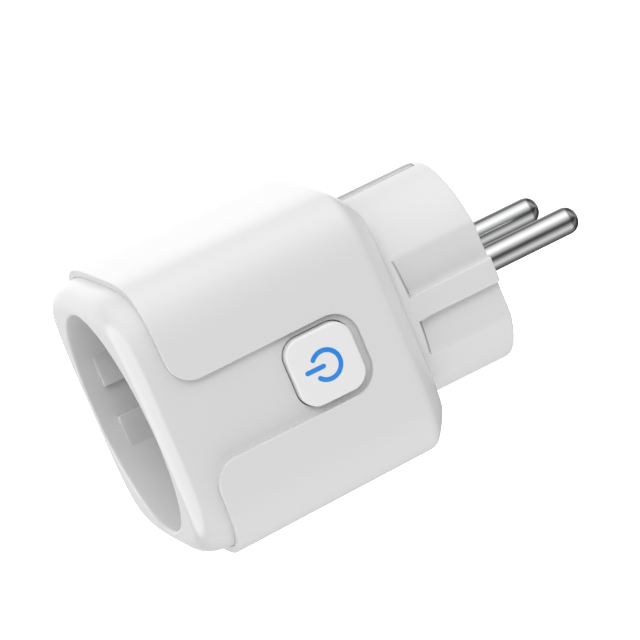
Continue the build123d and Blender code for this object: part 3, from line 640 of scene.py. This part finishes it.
    # the corners of the section grow rounder towards the front
    v = np.array(b.v)
    r, t = np.hypot(v[:, 0], v[:, 2]), np.arctan2(v[:, 2], v[:, 0])
    rs = half_at(-v[:, 1]) * rpol(t) - 1.3
    soft = half_at(-v[:, 1]) * (rpol(t) - (np.abs(np.cos(t)) ** 3.8 + np.abs(np.sin(t)) ** 3.8) ** (-1 / 3.8))
    q = np.clip((-v[:, 1] - 59.5) / 4.5, 0, 1)
    cut = soft * q * q * (3 - 2 * q) * np.clip((r - MOUTH_R - 0.02) / (rs - MOUTH_R), 0, 1)
    k = (r - cut) / np.maximum(r, 1e-9)
    v[:, 0] *= k
    v[:, 2] *= k
    b.v = v.tolist()
    return b


# --------------------------------------------------------------- button cap
def rounded_square(h, r, n=12):
    """Closed outline, 8n points, counter-clockwise from the middle of the +z side, as (z, d)."""
    r = max(r, 1e-3)
    c = h - r
    half = [("line", (h, 0.0), (h, c), (1, 0)), ("arc", (c, c), r, 0.0, math.pi / 4, 1)]
    pts, nrm = [], []
    for k in range(n):
        p, q = along(half, k / n)
        pts.append(p), nrm.append(q)
    p, q = along(half, 1.0)
    pts.append(p), nrm.append(q)
    P, Q = np.array(pts), np.array(nrm)
    P2, Q2 = P[::-1][:, ::-1], Q[::-1][:, ::-1]
    P8, Q8 = np.concatenate([P, P2[1:]]), np.concatenate([Q, Q2[1:]])[:, :]
    P4, Q4 = P8[:-1], Q8[:-1]
    out, on = [], []
    for k in range(4):
        ca, sa = (1, 0, -1, 0)[k], (0, 1, 0, -1)[k]
        R = np.array([[ca, sa], [-sa, ca]])
        out.append(P4 @ R), on.append(Q4 @ R)
    return np.concatenate(out), np.concatenate(on)


CAP_TOP = 25.31


def cap_height(z, d):
    return CAP_TOP - 0.16 * (z * z + d * d) / 38.0


def button_cap():
    b = Build()
    rows = []
    P, Nn = rounded_square(6.12, 3.25)
    n = len(P)

    def ring(inset, x, crown=True):
        q, _ = rounded_square(6.12 - inset, max(3.25 - inset, 0.35))
        xx = (x + (cap_height(q[:, 0], q[:, 1]) - CAP_TOP if crown else 0)) * np.ones(n)
        return np.stack([xx, -(BTN_D0 + q[:, 1]), q[:, 0]], -1)

    rows.append(ring(1.2, 21.4, False))
    rows.append(ring(1.2, 20.7, False))
    rows.append(ring(0.12, 20.7, False))
    rows.append(ring(0.0, 20.85, False))
    for x in (21.8, 22.8, 23.6, 24.2, 24.6):
        rows.append(ring(0.0, x))
    fr = 0.45
    for k in range(0, 10):
        p = deg(10 * k)
        rows.append(ring(fr * (1 - math.cos(p)), CAP_TOP - fr + fr * math.sin(p)))
    for ins in (0.7, 1.1, 1.8, 2.6):
        rows.append(ring(ins, CAP_TOP))
    q, _ = rounded_square(3.6, 0.7)
    for s in (0.75, 0.5, 0.25):
        z, d = q[:, 0] * s, q[:, 1] * s
        rows.append(np.stack([cap_height(z, d), -(BTN_D0 + d), z], -1))
    ids = b.rings(rows)
    for ring_ids, x in ((ids[-1], CAP_TOP), (ids[0], 21.4)):
        c = int(b.add([[x, -BTN_D0, 0]])[0])
        for k in range(n):
            b.f.append((int(ring_ids[k]), int(ring_ids[(k + 1) % n]), c))
    return b


def stroke(b, line, w=0.425, n_end=8):
    """A raised stroke with round ends along a line of (z, d) points measured from the button's centre."""
    L = np.asarray(line, float)
    T = np.gradient(L, axis=0)
    T /= np.hypot(*T.T)[:, None]
    Nl = np.stack([-T[:, 1], T[:, 0]], -1)

    def ring(h, lift):
        pts = [p + h * q for p, q in zip(L, Nl)]
        a0 = math.atan2(Nl[-1][1], Nl[-1][0])
        pts += [L[-1] + h * np.array([math.cos(a0 - math.pi * k / n_end), math.sin(a0 - math.pi * k / n_end)]) for k in range(1, n_end)]
        pts += [p - h * q for p, q in zip(L[::-1], Nl[::-1])]
        a0 = math.atan2(-Nl[0][1], -Nl[0][0])
        pts += [L[0] + h * np.array([math.cos(a0 - math.pi * k / n_end), math.sin(a0 - math.pi * k / n_end)]) for k in range(1, n_end)]
        q = np.array(pts)
        return np.stack([cap_height(q[:, 0], q[:, 1]) + lift, -(BTN_D0 + q[:, 1]), q[:, 0]], -1)

    rows = [ring(w, -0.2), ring(w, 0.0), ring(w - 0.012, 0.014), ring(w - 0.04, 0.026), ring(w - 0.09, 0.033), ring(w - 0.2, 0.036), ring(0.08, 0.038)]
    ids = b.rings(rows)
    m = len(L)
    for r, flip in ((ids[-1], 1), (ids[0], -1)):
        top, bot = r[:m], r[m + n_end - 1:2 * m + n_end - 1][::-1]
        for k in range(m - 1):
            b.f.append((int(top[k]), int(top[k + 1]), int(bot[k + 1]), int(bot[k])))
        e1 = [int(x) for x in r[m - 1:m + n_end]]
        e2 = [int(x) for x in list(r[2 * m + n_end - 2:]) + [r[0]]]
        b.f.append(tuple(e1))
        b.f.append(tuple(e2))


def power_icon():
    b = Build()
    a = np.linspace(deg(41), deg(319), 73)
    stroke(b, np.stack([2.5 * np.sin(a), 2.5 * np.cos(a)], -1))
    d = np.linspace(0.55, 3.58, 17)
    stroke(b, np.stack([np.zeros_like(d), d], -1))
    return b


# --------------------------------------------------------------------- pins
def pin(cx):
    b = Build()
    prof = [(1.4, -9.8), (2.0, -9.8), (2.1, -9.7), (2.1, -9.0), (1.5, -9.0), (1.5, -8.2), (3.1, -8.2), (3.2, -8.1), (3.2, -7.3), (3.1, -7.2), (2.1, -7.2), (2.1, 0.0), (2.33, 0.0), (2.4, 0.07)]
    prof += [(2.4, y) for y in (1, 3, 5, 8, 11, 14, 16, 17.1)]
    rt = 2.12
    for k in range(1, 13):
        p = deg(7.5 * k)
        prof.append((2.4 - rt + rt * math.cos(p), 19.3 - rt + rt * math.sin(p)))
    a = np.arange(72) * 2 * math.pi / 72
    rows = [ring_xz(cx + r * np.cos(a), r * np.sin(a), -y) for r, y in prof]
    ids = b.rings(rows)
    for r, y in ((ids[0], -9.8), (ids[-1], 19.3)):
        c = int(b.add([[cx, y, 0]])[0])
        for k in range(72):
            b.f.append((int(r[k]), int(r[(k + 1) % 72]), c))
    return b


# -------------------------------------------------------------- earth strips
def plug_earth():
    b = Build()
    for up, crown in ((1, 19.1), (-1, 18.6)):
        rows = []
        for d, f in ((1.5, 0.45), (1.53, 0.62), (1.62, 0.76), (1.8, 0.88), (2.05, 0.96), (2.4, 1.0), (3.2, 1.0), (8, 1.0), (13, 1.0), (20.9, 1.0)):
            half = 1.36 * (0.7 + 0.3 * f)
            top = 18.35 + (crown - 18.35) * f
            pts = [(-half, 18.06), (0, 18.05), (half, 18.06)]
            for t in range(0, 181, 9):
                c, q = math.cos(deg(t)), math.sin(deg(t))
                pts.append((half * math.copysign(abs(c) ** 0.8, c), 18.35 + (top - 18.35) * abs(q) ** 0.8))
            q = np.array(pts)
            rows.append(ring_xz(q[:, 0], up * q[:, 1], d))
        ids = b.rings(rows)
        b.f.append(tuple(int(i) for i in ids[0]))
        b.f.append(tuple(int(i) for i in ids[-1]))
    a = np.arange(96) * 2 * math.pi / 96
    rr = [circle(a, r, d) for r, d in ((16.9, 20.45), (16.9, 20.95), (17.0, 21.0), (17.95, 21.0), (18.0, 20.95), (18.0, 20.45), (17.9, 20.42), (17.0, 20.42))]
    ids = b.rings(rr)
    b.bridge(ids[-1], ids[0])
    return b


# ---------------------------------------------------------------- materials
def new_mat(name):
    m = bpy.data.materials.new(name)
    m.use_nodes = True
    nt = m.node_tree
    bsdf = nt.nodes["Principled BSDF"]
    tc = nt.nodes.new("ShaderNodeTexCoord")
    return m, nt, bsdf, tc


def tex(nt, tc, scale, detail=4.0, rough=0.55, stretch=None):
    n = nt.nodes.new("ShaderNodeTexNoise")
    n.inputs["Scale"].default_value = scale
    n.inputs["Detail"].default_value = detail
    n.inputs["Roughness"].default_value = rough
    if stretch:
        mp = nt.nodes.new("ShaderNodeMapping")
        mp.inputs["Scale"].default_value = stretch
        nt.links.new(tc.outputs["Object"], mp.inputs["Vector"])
        nt.links.new(mp.outputs["Vector"], n.inputs["Vector"])
    else:
        nt.links.new(tc.outputs["Object"], n.inputs["Vector"])
    return n


def ramp(nt, src, stops):
    r = nt.nodes.new("ShaderNodeValToRGB")
    e = r.color_ramp.elements
    while len(e) > 1:
        e.remove(e[-1])
    e[0].position, e[0].color = stops[0][0], (*stops[0][1], 1)
    for p, c in stops[1:]:
        k = e.new(p)
        k.color = (*c, 1)
    nt.links.new(src, r.inputs["Fac"])
    return r


def remap(nt, src, a, b, c, d):
    n = nt.nodes.new("ShaderNodeMapRange")
    n.inputs["From Min"].default_value = a
    n.inputs["From Max"].default_value = b
    n.inputs["To Min"].default_value = c
    n.inputs["To Max"].default_value = d
    nt.links.new(src, n.inputs["Value"])
    return n.outputs["Result"]


def bumps(nt, bsdf, parts):
    """Chained bumps from (height socket, strength, distance in metres)."""
    prev = None
    for h, s, dist in parts:
        b = nt.nodes.new("ShaderNodeBump")
        b.inputs["Strength"].default_value = s
        b.inputs["Distance"].default_value = dist
        nt.links.new(h, b.inputs["Height"])
        if prev:
            nt.links.new(prev, b.inputs["Normal"])
        prev = b.outputs["Normal"]
    nt.links.new(prev, bsdf.inputs["Normal"])


def edge_mix(nt, color, lift, tint):
    """Edges worn towards tint, by how sharply the surface is curved."""
    g = nt.nodes.new("ShaderNodeNewGeometry")
    f = remap(nt, g.outputs["Pointiness"], 0.52, 0.6, 0.0, lift)
    mx = nt.nodes.new("ShaderNodeMix")
    mx.data_type = "RGBA"
    nt.links.new(f, mx.inputs["Factor"])
    nt.links.new(color, mx.inputs["A"])
    mx.inputs["B"].default_value = (*tint, 1)
    return mx.outputs["Result"]


def plastic(name, base, spread=0.012, rough=(0.24, 0.34), grain=0.05, spec=0.5, coat=0.0, fine=2600.0, sss=0.0):
    """Moulded plastic: faint clouding of the colour, uneven gloss, fine moulding texture, lighter worn edges."""
    m, nt, bsdf, tc = new_mat(name)
    cloud = tex(nt, tc, 70.0, 5.0)
    lo = tuple(max(c - spread, 0) for c in base)
    hi = tuple(min(c + spread, 1) for c in base)
    col = ramp(nt, cloud.outputs["Fac"], [(0.3, lo), (0.5, base), (0.7, hi)])
    nt.links.new(edge_mix(nt, col.outputs["Color"], 0.35, tuple(min(c + 0.05, 1) for c in base)), bsdf.inputs["Base Color"])
    gl = tex(nt, tc, 260.0, 6.0, 0.6)
    nt.links.new(remap(nt, gl.outputs["Fac"], 0.3, 0.7, *rough), bsdf.inputs["Roughness"])
    gr = tex(nt, tc, fine, 3.0, 0.5)
    wave = tex(nt, tc, 55.0, 2.0, 0.4)
    bumps(nt, bsdf, [(wave.outputs["Fac"], 0.02, 0.0004), (gr.outputs["Fac"], grain, 0.00004)])
    bsdf.inputs["Specular IOR Level"].default_value = spec
    bsdf.inputs["Coat Weight"].default_value = coat
    bsdf.inputs["Coat Roughness"].default_value = 0.12
    if sss:
        bsdf.inputs["Subsurface Weight"].default_value = sss
        bsdf.inputs["Subsurface Radius"].default_value = (0.0012, 0.001, 0.0009)
        bsdf.inputs["Subsurface Scale"].default_value = 1.0
    return m


def metal(name, base, rough=(0.12, 0.2), axis=None, spread=0.03, grain=0.05, aniso=0.0, rim=1.0):
    """Plated metal: slight tone clouds, uneven gloss, fine drawn or turned marks, brighter rubbed edges; rim below 1
    darkens the grazing-angle reflection, a painted shade along the edges.
    """
    m, nt, bsdf, tc = new_mat(name)
    cloud = tex(nt, tc, 180.0, 4.0)
    lo = tuple(max(c - spread, 0) for c in base)
    hi = tuple(min(c + spread, 1) for c in base)
    col = ramp(nt, cloud.outputs["Fac"], [(0.3, lo), (0.7, hi)])
    nt.links.new(edge_mix(nt, col.outputs["Color"], 0.5, tuple(min(c + 0.12, 1) for c in base)), bsdf.inputs["Base Color"])
    bsdf.inputs["Metallic"].default_value = 1.0
    bsdf.inputs["Anisotropic"].default_value = aniso
    # rim tints the grazing-angle reflection; below 1 it paints shade along the metal's edges
    bsdf.inputs["Specular Tint"].default_value = (rim, rim, rim, 1)
    stretch = axis or (1.0, 1.0, 1.0)
    marks = tex(nt, tc, 1500.0, 4.0, 0.65, stretch)
    gl = tex(nt, tc, 420.0, 5.0)
    add = nt.nodes.new("ShaderNodeMath")
    add.operation = "ADD"
    nt.links.new(remap(nt, gl.outputs["Fac"], 0.3, 0.7, rough[0], rough[1]), add.inputs[0])
    nt.links.new(remap(nt, marks.outputs["Fac"], 0.35, 0.65, -0.015, 0.025), add.inputs[1])
    nt.links.new(add.outputs["Value"], bsdf.inputs["Roughness"])
    bumps(nt, bsdf, [(marks.outputs["Fac"], grain, 0.00002)])
    return m


def winding(name, base):
    """Enamelled wire wound round +Y: fine regular turns."""
    m, nt, bsdf, tc = new_mat(name)
    w = nt.nodes.new("ShaderNodeTexWave")
    w.bands_direction = "Y"
    w.inputs["Scale"].default_value = 900.0
    w.inputs["Distortion"].default_value = 0.6
    nt.links.new(tc.outputs["Object"], w.inputs["Vector"])
    col = ramp(nt, w.outputs["Fac"], [(0.0, tuple(c * 0.45 for c in base)), (0.5, base), (1.0, tuple(min(c * 1.2, 1) for c in base))])
    nt.links.new(col.outputs["Color"], bsdf.inputs["Base Color"])
    bsdf.inputs["Metallic"].default_value = 0.8
    gl = tex(nt, tc, 500.0)
    nt.links.new(remap(nt, gl.outputs["Fac"], 0.3, 0.7, 0.25, 0.4), bsdf.inputs["Roughness"])
    bumps(nt, bsdf, [(w.outputs["Fac"], 0.5, 0.0001)])
    return m


def board(name, base):
    """Circuit board: solder mask with faint copper tracks under it and a woven grain."""
    m, nt, bsdf, tc = new_mat(name)
    br = nt.nodes.new("ShaderNodeTexBrick")
    br.inputs["Scale"].default_value = 320.0
    br.inputs["Mortar Size"].default_value = 0.07
    br.inputs["Color1"].default_value = (*base, 1)
    br.inputs["Color2"].default_value = (*(min(c * 1.25, 1) for c in base), 1)
    br.inputs["Mortar"].default_value = (*(min(c * 1.7 + 0.02, 1) for c in base), 1)
    mp = nt.nodes.new("ShaderNodeMapping")
    mp.inputs["Rotation"].default_value = (math.pi / 2, 0, 0.3)
    nt.links.new(tc.outputs["Object"], mp.inputs["Vector"])
    nt.links.new(mp.outputs["Vector"], br.inputs["Vector"])
    nt.links.new(br.outputs["Color"], bsdf.inputs["Base Color"])
    gl = tex(nt, tc, 300.0)
    nt.links.new(remap(nt, gl.outputs["Fac"], 0.3, 0.7, 0.28, 0.42), bsdf.inputs["Roughness"])
    gr = tex(nt, tc, 1800.0, 2.0)
    bumps(nt, bsdf, [(br.outputs["Fac"], 0.25, 0.00004), (gr.outputs["Fac"], 0.1, 0.00002)])
    return m


WHITE = (0.63, 0.63, 0.63)
MATS = {
    "white_shell": plastic("white_shell", WHITE, 0.003, (0.23, 0.27), 0.02),
    "white_housing": plastic("white_housing", (0.62, 0.62, 0.62), 0.003, (0.22, 0.26), 0.02),
    "button_white": plastic("button_white", (0.73, 0.73, 0.73), 0.003, (0.3, 0.36), 0.02),
    "icon_blue": plastic("icon_blue", (0.02, 0.225, 0.68), 0.012, (0.25, 0.33), 0.03, coat=0.3),
    # rim 0.18 paints dark reflections along the pins' edges
    "pin_nickel": metal("pin_nickel", (0.775, 0.778, 0.785), (0.13, 0.17), (1.0, 0.12, 1.0), 0.012, 0.02, rim=0.18),
    "earth_nickel": metal("earth_nickel", (0.80, 0.80, 0.80), (0.52, 0.6), (1.0, 0.1, 1.0), 0.02, 0.04),
    "contact_brass": metal("contact_brass", (0.78, 0.56, 0.26), (0.2, 0.32), (1.0, 0.15, 1.0), 0.04, 0.08),
    "carrier_grey": plastic("carrier_grey", (0.56, 0.56, 0.54), 0.02, (0.42, 0.55), 0.12),
    "screw_steel": metal("screw_steel", (0.6, 0.6, 0.62), (0.2, 0.32), (1.0, 0.2, 1.0), 0.03, 0.08),
    "board_green": board("board_green", (0.015, 0.12, 0.05)),
    "relay_blue": plastic("relay_blue", (0.02, 0.06, 0.28), 0.01, (0.25, 0.36), 0.06),
    "relay_iron": metal("relay_iron", (0.5, 0.5, 0.51), (0.28, 0.4), (1.0, 0.2, 1.0), 0.03, 0.08),
    "coil_copper": winding("coil_copper", (0.62, 0.22, 0.07)),
    "black_part": plastic("black_part", (0.018, 0.018, 0.02), 0.006, (0.42, 0.55), 0.15),
    "capacitor_sleeve": plastic("capacitor_sleeve", (0.012, 0.014, 0.022), 0.005, (0.22, 0.32), 0.04, coat=0.2),
    "varistor_blue": plastic("varistor_blue", (0.012, 0.05, 0.22), 0.01, (0.2, 0.3), 0.1),
    "resistor_green": plastic("resistor_green", (0.06, 0.16, 0.09), 0.02, (0.4, 0.5), 0.12),
    "shunt_alloy": metal("shunt_alloy", (0.58, 0.5, 0.42), (0.25, 0.36), None, 0.03, 0.08),
    "shield_tin": metal("shield_tin", (0.7, 0.7, 0.69), (0.28, 0.38), (1.0, 0.3, 1.0), 0.02, 0.06),
    "led_lens": plastic("led_lens", (0.85, 0.84, 0.78), 0.01, (0.12, 0.2), 0.03, coat=0.5),
    "plunger_black": plastic("plunger_black", (0.02, 0.02, 0.022), 0.006, (0.4, 0.5), 0.1),
}

def paint_recess_shade(mat):
    """Painted shade: the inner walls of the socket recess grow greyer with depth, a near-black mixed into the colour
    where the recess lies in shade.
    """
    nt = mat.node_tree
    bsdf = nt.nodes["Principled BSDF"]
    old = bsdf.inputs["Base Color"].links[0].from_socket
    tc = nt.nodes.new("ShaderNodeTexCoord")
    flat = nt.nodes.new("ShaderNodeVectorMath")
    flat.operation = "MULTIPLY"
    flat.inputs[1].default_value = (1, 0, 1)
    size = nt.nodes.new("ShaderNodeVectorMath")
    size.operation = "LENGTH"
    sep = nt.nodes.new("ShaderNodeSeparateXYZ")
    nt.links.new(tc.outputs["Object"], flat.inputs[0])
    nt.links.new(flat.outputs["Vector"], size.inputs[0])
    nt.links.new(tc.outputs["Object"], sep.inputs["Vector"])
    # mask of the recess walls, times an amount of painted shade that grows with depth
    inside = remap(nt, size.outputs["Value"], 0.0203, 0.0207, 1.0, 0.0)
    depth = remap(nt, sep.outputs["Y"], -0.0655, -0.0500, 0.05, 0.22)
    painted_shade_amount = nt.nodes.new("ShaderNodeMath")
    painted_shade_amount.operation = "MULTIPLY"
    nt.links.new(inside, painted_shade_amount.inputs[0])
    nt.links.new(depth, painted_shade_amount.inputs[1])
    painted_shade_mix = nt.nodes.new("ShaderNodeMix")
    painted_shade_mix.data_type = "RGBA"
    nt.links.new(painted_shade_amount.outputs["Value"], painted_shade_mix.inputs["Factor"])
    a, b = [k for k in painted_shade_mix.inputs if k.type == "RGBA"]
    nt.links.new(old, a)
    # near-black colour of the painted shade
    b.default_value = (0.02, 0.02, 0.02, 1)
    nt.links.new([k for k in painted_shade_mix.outputs if k.type == "RGBA"][0], bsdf.inputs["Base Color"])


# painted shade in the recess of the housing material
paint_recess_shade(MATS["white_housing"])

# ------------------------------------------------------------ visible pieces
rear_shell().make("rear_shell_skin", "case", "white_shell", MATS["white_shell"], ["rear_shell"])
front_housing().make("front_housing_skin", "case", "white_housing", MATS["white_housing"], ["front_housing"])
button_cap().make("button_cap_skin", "button", "button_white", MATS["button_white"], ["button_cap"])
power_icon().make("power_icon_strokes", "button", "icon_blue", MATS["icon_blue"], ["power_icon"])
pin(-9.5).make("plug_pin_left_turned", "case", "pin_nickel", MATS["pin_nickel"], ["plug_pin_left"])
pin(9.5).make("plug_pin_right_turned", "case", "pin_nickel", MATS["pin_nickel"], ["plug_pin_right"])
plug_earth().make("plug_earth_strips", "case", "earth_nickel", MATS["earth_nickel"], ["plug_earth_yoke"], 40.0)

# pieces that keep their shape from the design: finish, and softened edges
slots = {p["node"]: p["material_slot"] for p in frame["record"]["subparts"]}
for node, ob in frame["nodes"].items():
    ob.data.materials.clear()
    ob.data.materials.append(MATS[slots[node]])
    if ob.hide_render:
        continue
    w = ob.modifiers.new("join", "WELD")
    w.merge_threshold = 1e-6
    lo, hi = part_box(node)
    bv = ob.modifiers.new("soft_edges", "BEVEL")
    bv.width = min(0.00012, 0.04 * min(hi - lo))
    bv.segments = 2
    bv.limit_method = "ANGLE"
    bv.angle_limit = deg(40)
    bv.harden_normals = False

# -------------------------------------------------------------- surroundings
scene = bpy.context.scene
scene.view_settings.view_transform = "Standard"
scene.view_settings.look = "None"
scene.view_settings.exposure = 0.0
scene.view_settings.gamma = 1.0


def grid_mesh(name, z, half, n=8):
    me = bpy.data.meshes.new(name)
    t = np.linspace(-half, half, n + 1)
    vs = [(x, y, z) for y in t for x in t]
    fs = [(j * (n + 1) + i, j * (n + 1) + i + 1, (j + 1) * (n + 1) + i + 1, (j + 1) * (n + 1) + i) for j in range(n) for i in range(n)]
    me.from_pydata(vs, [], fs)
    ob = bpy.data.objects.new(name, me)
    scene.collection.objects.link(ob)
    return ob


floor = grid_mesh("floor", -0.45, 30.0)
fm, nt, bsdf, tc = new_mat("floor_white")
fn = tex(nt, tc, 3.0)
fc = ramp(nt, fn.outputs["Fac"], [(0.0, (0.93, 0.93, 0.93)), (1.0, (0.95, 0.95, 0.95))])
nt.links.new(fc.outputs["Color"], bsdf.inputs["Base Color"])
bsdf.inputs["Roughness"].default_value = 0.9
bsdf.inputs["Emission Color"].default_value = (1, 1, 1, 1)
bsdf.inputs["Emission Strength"].default_value = 0.9
floor.data.materials.append(fm)
floor.visible_diffuse = False
floor.visible_glossy = False
floor.visible_shadow = False
floor.visible_transmission = False

# soft light all round, strongest from above
world = bpy.data.worlds.new("studio")
scene.world = world
world.use_nodes = True
nt = world.node_tree
bg = nt.nodes["Background"]
tc = nt.nodes.new("ShaderNodeTexCoord")
sep = nt.nodes.new("ShaderNodeSeparateXYZ")
nt.links.new(tc.outputs["Generated"], sep.inputs["Vector"])
up = remap(nt, sep.outputs["Z"], -1.0, 1.0, 0.0, 1.0)
sky = ramp(nt, up, [(0, (2.75,) * 3), (0.06, (2.3,) * 3), (0.15, (1.2,) * 3), (0.3, (0.42,) * 3), (0.45, (0.34,) * 3), (0.56, (0.5,) * 3), (0.7, (1.44,) * 3), (0.82, (1.52,) * 3), (1, (0.92,) * 3)])
nt.links.new(sky.outputs["Color"], bg.inputs["Color"])
bg.inputs["Strength"].default_value = 1.0

# what the glossy surfaces mirror: a long softbox overhead, a pale table below, dark gaps between
dome = bpy.data.meshes.new("softbox_ring")
na, ny = 96, 12
R0 = 3.0
vs, fs = [], []
for j in range(ny + 1):
    y = -R0 + 2 * R0 * j / ny
    for i in range(na):
        a = 2 * math.pi * i / na
        vs.append((R0 * math.cos(a), y, R0 * math.sin(a)))
for j in range(ny):
    for i in range(na):
        k = (i + 1) % na
        fs.append((j * na + i, j * na + k, (j + 1) * na + k, (j + 1) * na + i))
fs.append(tuple(range(na)))
fs.append(tuple(ny * na + i for i in range(na)))
dome.from_pydata(vs, [], fs)
dob = bpy.data.objects.new("softbox_ring", dome)
scene.collection.objects.link(dob)
dm = bpy.data.materials.new("softbox_light")
dm.use_nodes = True
nt = dm.node_tree
nt.nodes.clear()
out = nt.nodes.new("ShaderNodeOutputMaterial")
em = nt.nodes.new("ShaderNodeEmission")
nt.links.new(em.outputs["Emission"], out.inputs["Surface"])
tc = nt.nodes.new("ShaderNodeTexCoord")
sep = nt.nodes.new("ShaderNodeSeparateXYZ")
nt.links.new(tc.outputs["Object"], sep.inputs["Vector"])
at2 = nt.nodes.new("ShaderNodeMath")
at2.operation = "ARCTAN2"
nt.links.new(sep.outputs["Z"], at2.inputs[0])
nt.links.new(sep.outputs["X"], at2.inputs[1])
f = remap(nt, at2.outputs["Value"], -math.pi, math.pi, 0.0, 1.0)
BANDS = [(-180, 1.3), (-160, 0.8), (-140, 0.25), (-120, 0.16), (-100, 0.16), (-86, 0.25), (-72, 0.5), (-58, 0.75), (-48, 0.76), (-36, 0.55), (-26, 0.36), (-16, 0.16), (-8, 0.07), (2, 0.07), (9, 0.14),
         (16, 0.32), (28, 0.6), (42, 0.92), (54, 1.3), (68, 1.34), (80, 1.15), (94, 0.86), (104, 0.66), (112, 0.4), (120, 0.2), (130, 0.15), (142, 0.3), (154, 1.0), (166, 1.3), (180, 1.3)]
rm = ramp(nt, f, [((d + 180) / 360, (v, v, v)) for d, v in BANDS])
far = ramp(nt, remap(nt, sep.outputs["Y"], 1.3, 2.8, 0.0, 1.0), [(0.0, (1, 1, 1)), (0.35, (0.45, 0.45, 0.45)), (0.7, (0.2, 0.2, 0.2)), (1.0, (0.3, 0.3, 0.3))])
mul = nt.nodes.new("ShaderNodeMix")
mul.data_type = "RGBA"
mul.blend_type = "MULTIPLY"
mul.inputs["Factor"].default_value = 1.0
nt.links.new(rm.outputs["Color"], mul.inputs["A"])
nt.links.new(far.outputs["Color"], mul.inputs["B"])
front_box = nt.nodes.new("ShaderNodeMix")
front_box.data_type = "RGBA"
nt.links.new(remap(nt, sep.outputs["Y"], -2.7, -2.98, 0.0, 1.0), front_box.inputs["Factor"])
nt.links.new(mul.outputs["Result"], front_box.inputs["A"])
front_box.inputs["B"].default_value = (3.9, 3.9, 3.9, 1)
nt.links.new(front_box.outputs["Result"], em.inputs["Color"])
em.inputs["Strength"].default_value = 1.0
dob.data.materials.append(dm)
dm.cycles.emission_sampling = "NONE"
dob.visible_camera = False
dob.visible_diffuse = False
dob.visible_shadow = False
dob.visible_transmission = False


def soft_light(name, loc, target, size, watts):
    la = bpy.data.lights.new(name, "AREA")
    la.shape = "RECTANGLE"
    la.size, la.size_y = size
    la.energy = watts
    ob = bpy.data.objects.new(name, la)
    scene.collection.objects.link(ob)
    ob.location = loc
    ob.rotation_euler = (Vector(target) - Vector(loc)).to_track_quat("-Z", "Y").to_euler()
    ob.visible_glossy = False
    return ob


soft_light("key_softbox", (1.35, -0.5, 1.2), (0, -0.03, 0), (0.7, 0.7), 8.4)

# camera
CAM_X = (0.309888421, 0.871819956, -0.379340389)
CAM_Y = (-0.110255803, 0.429241145, 0.896434993)
CAM_Z = (0.944358420, -0.235970345, 0.229140070)
CAM_P = (0.726569940, -0.208710816, 0.177463770)
cam = bpy.data.cameras.new("camera")
cam.sensor_width = 36.0
cam.lens = 253.12662
cam.clip_start = 0.05
cam.clip_end = 100.0
cob = bpy.data.objects.new("camera", cam)
scene.collection.objects.link(cob)
cob.matrix_world = Matrix([[CAM_X[i], CAM_Y[i], CAM_Z[i], CAM_P[i]] for i in range(3)] + [[0, 0, 0, 1]])
scene.camera = cob
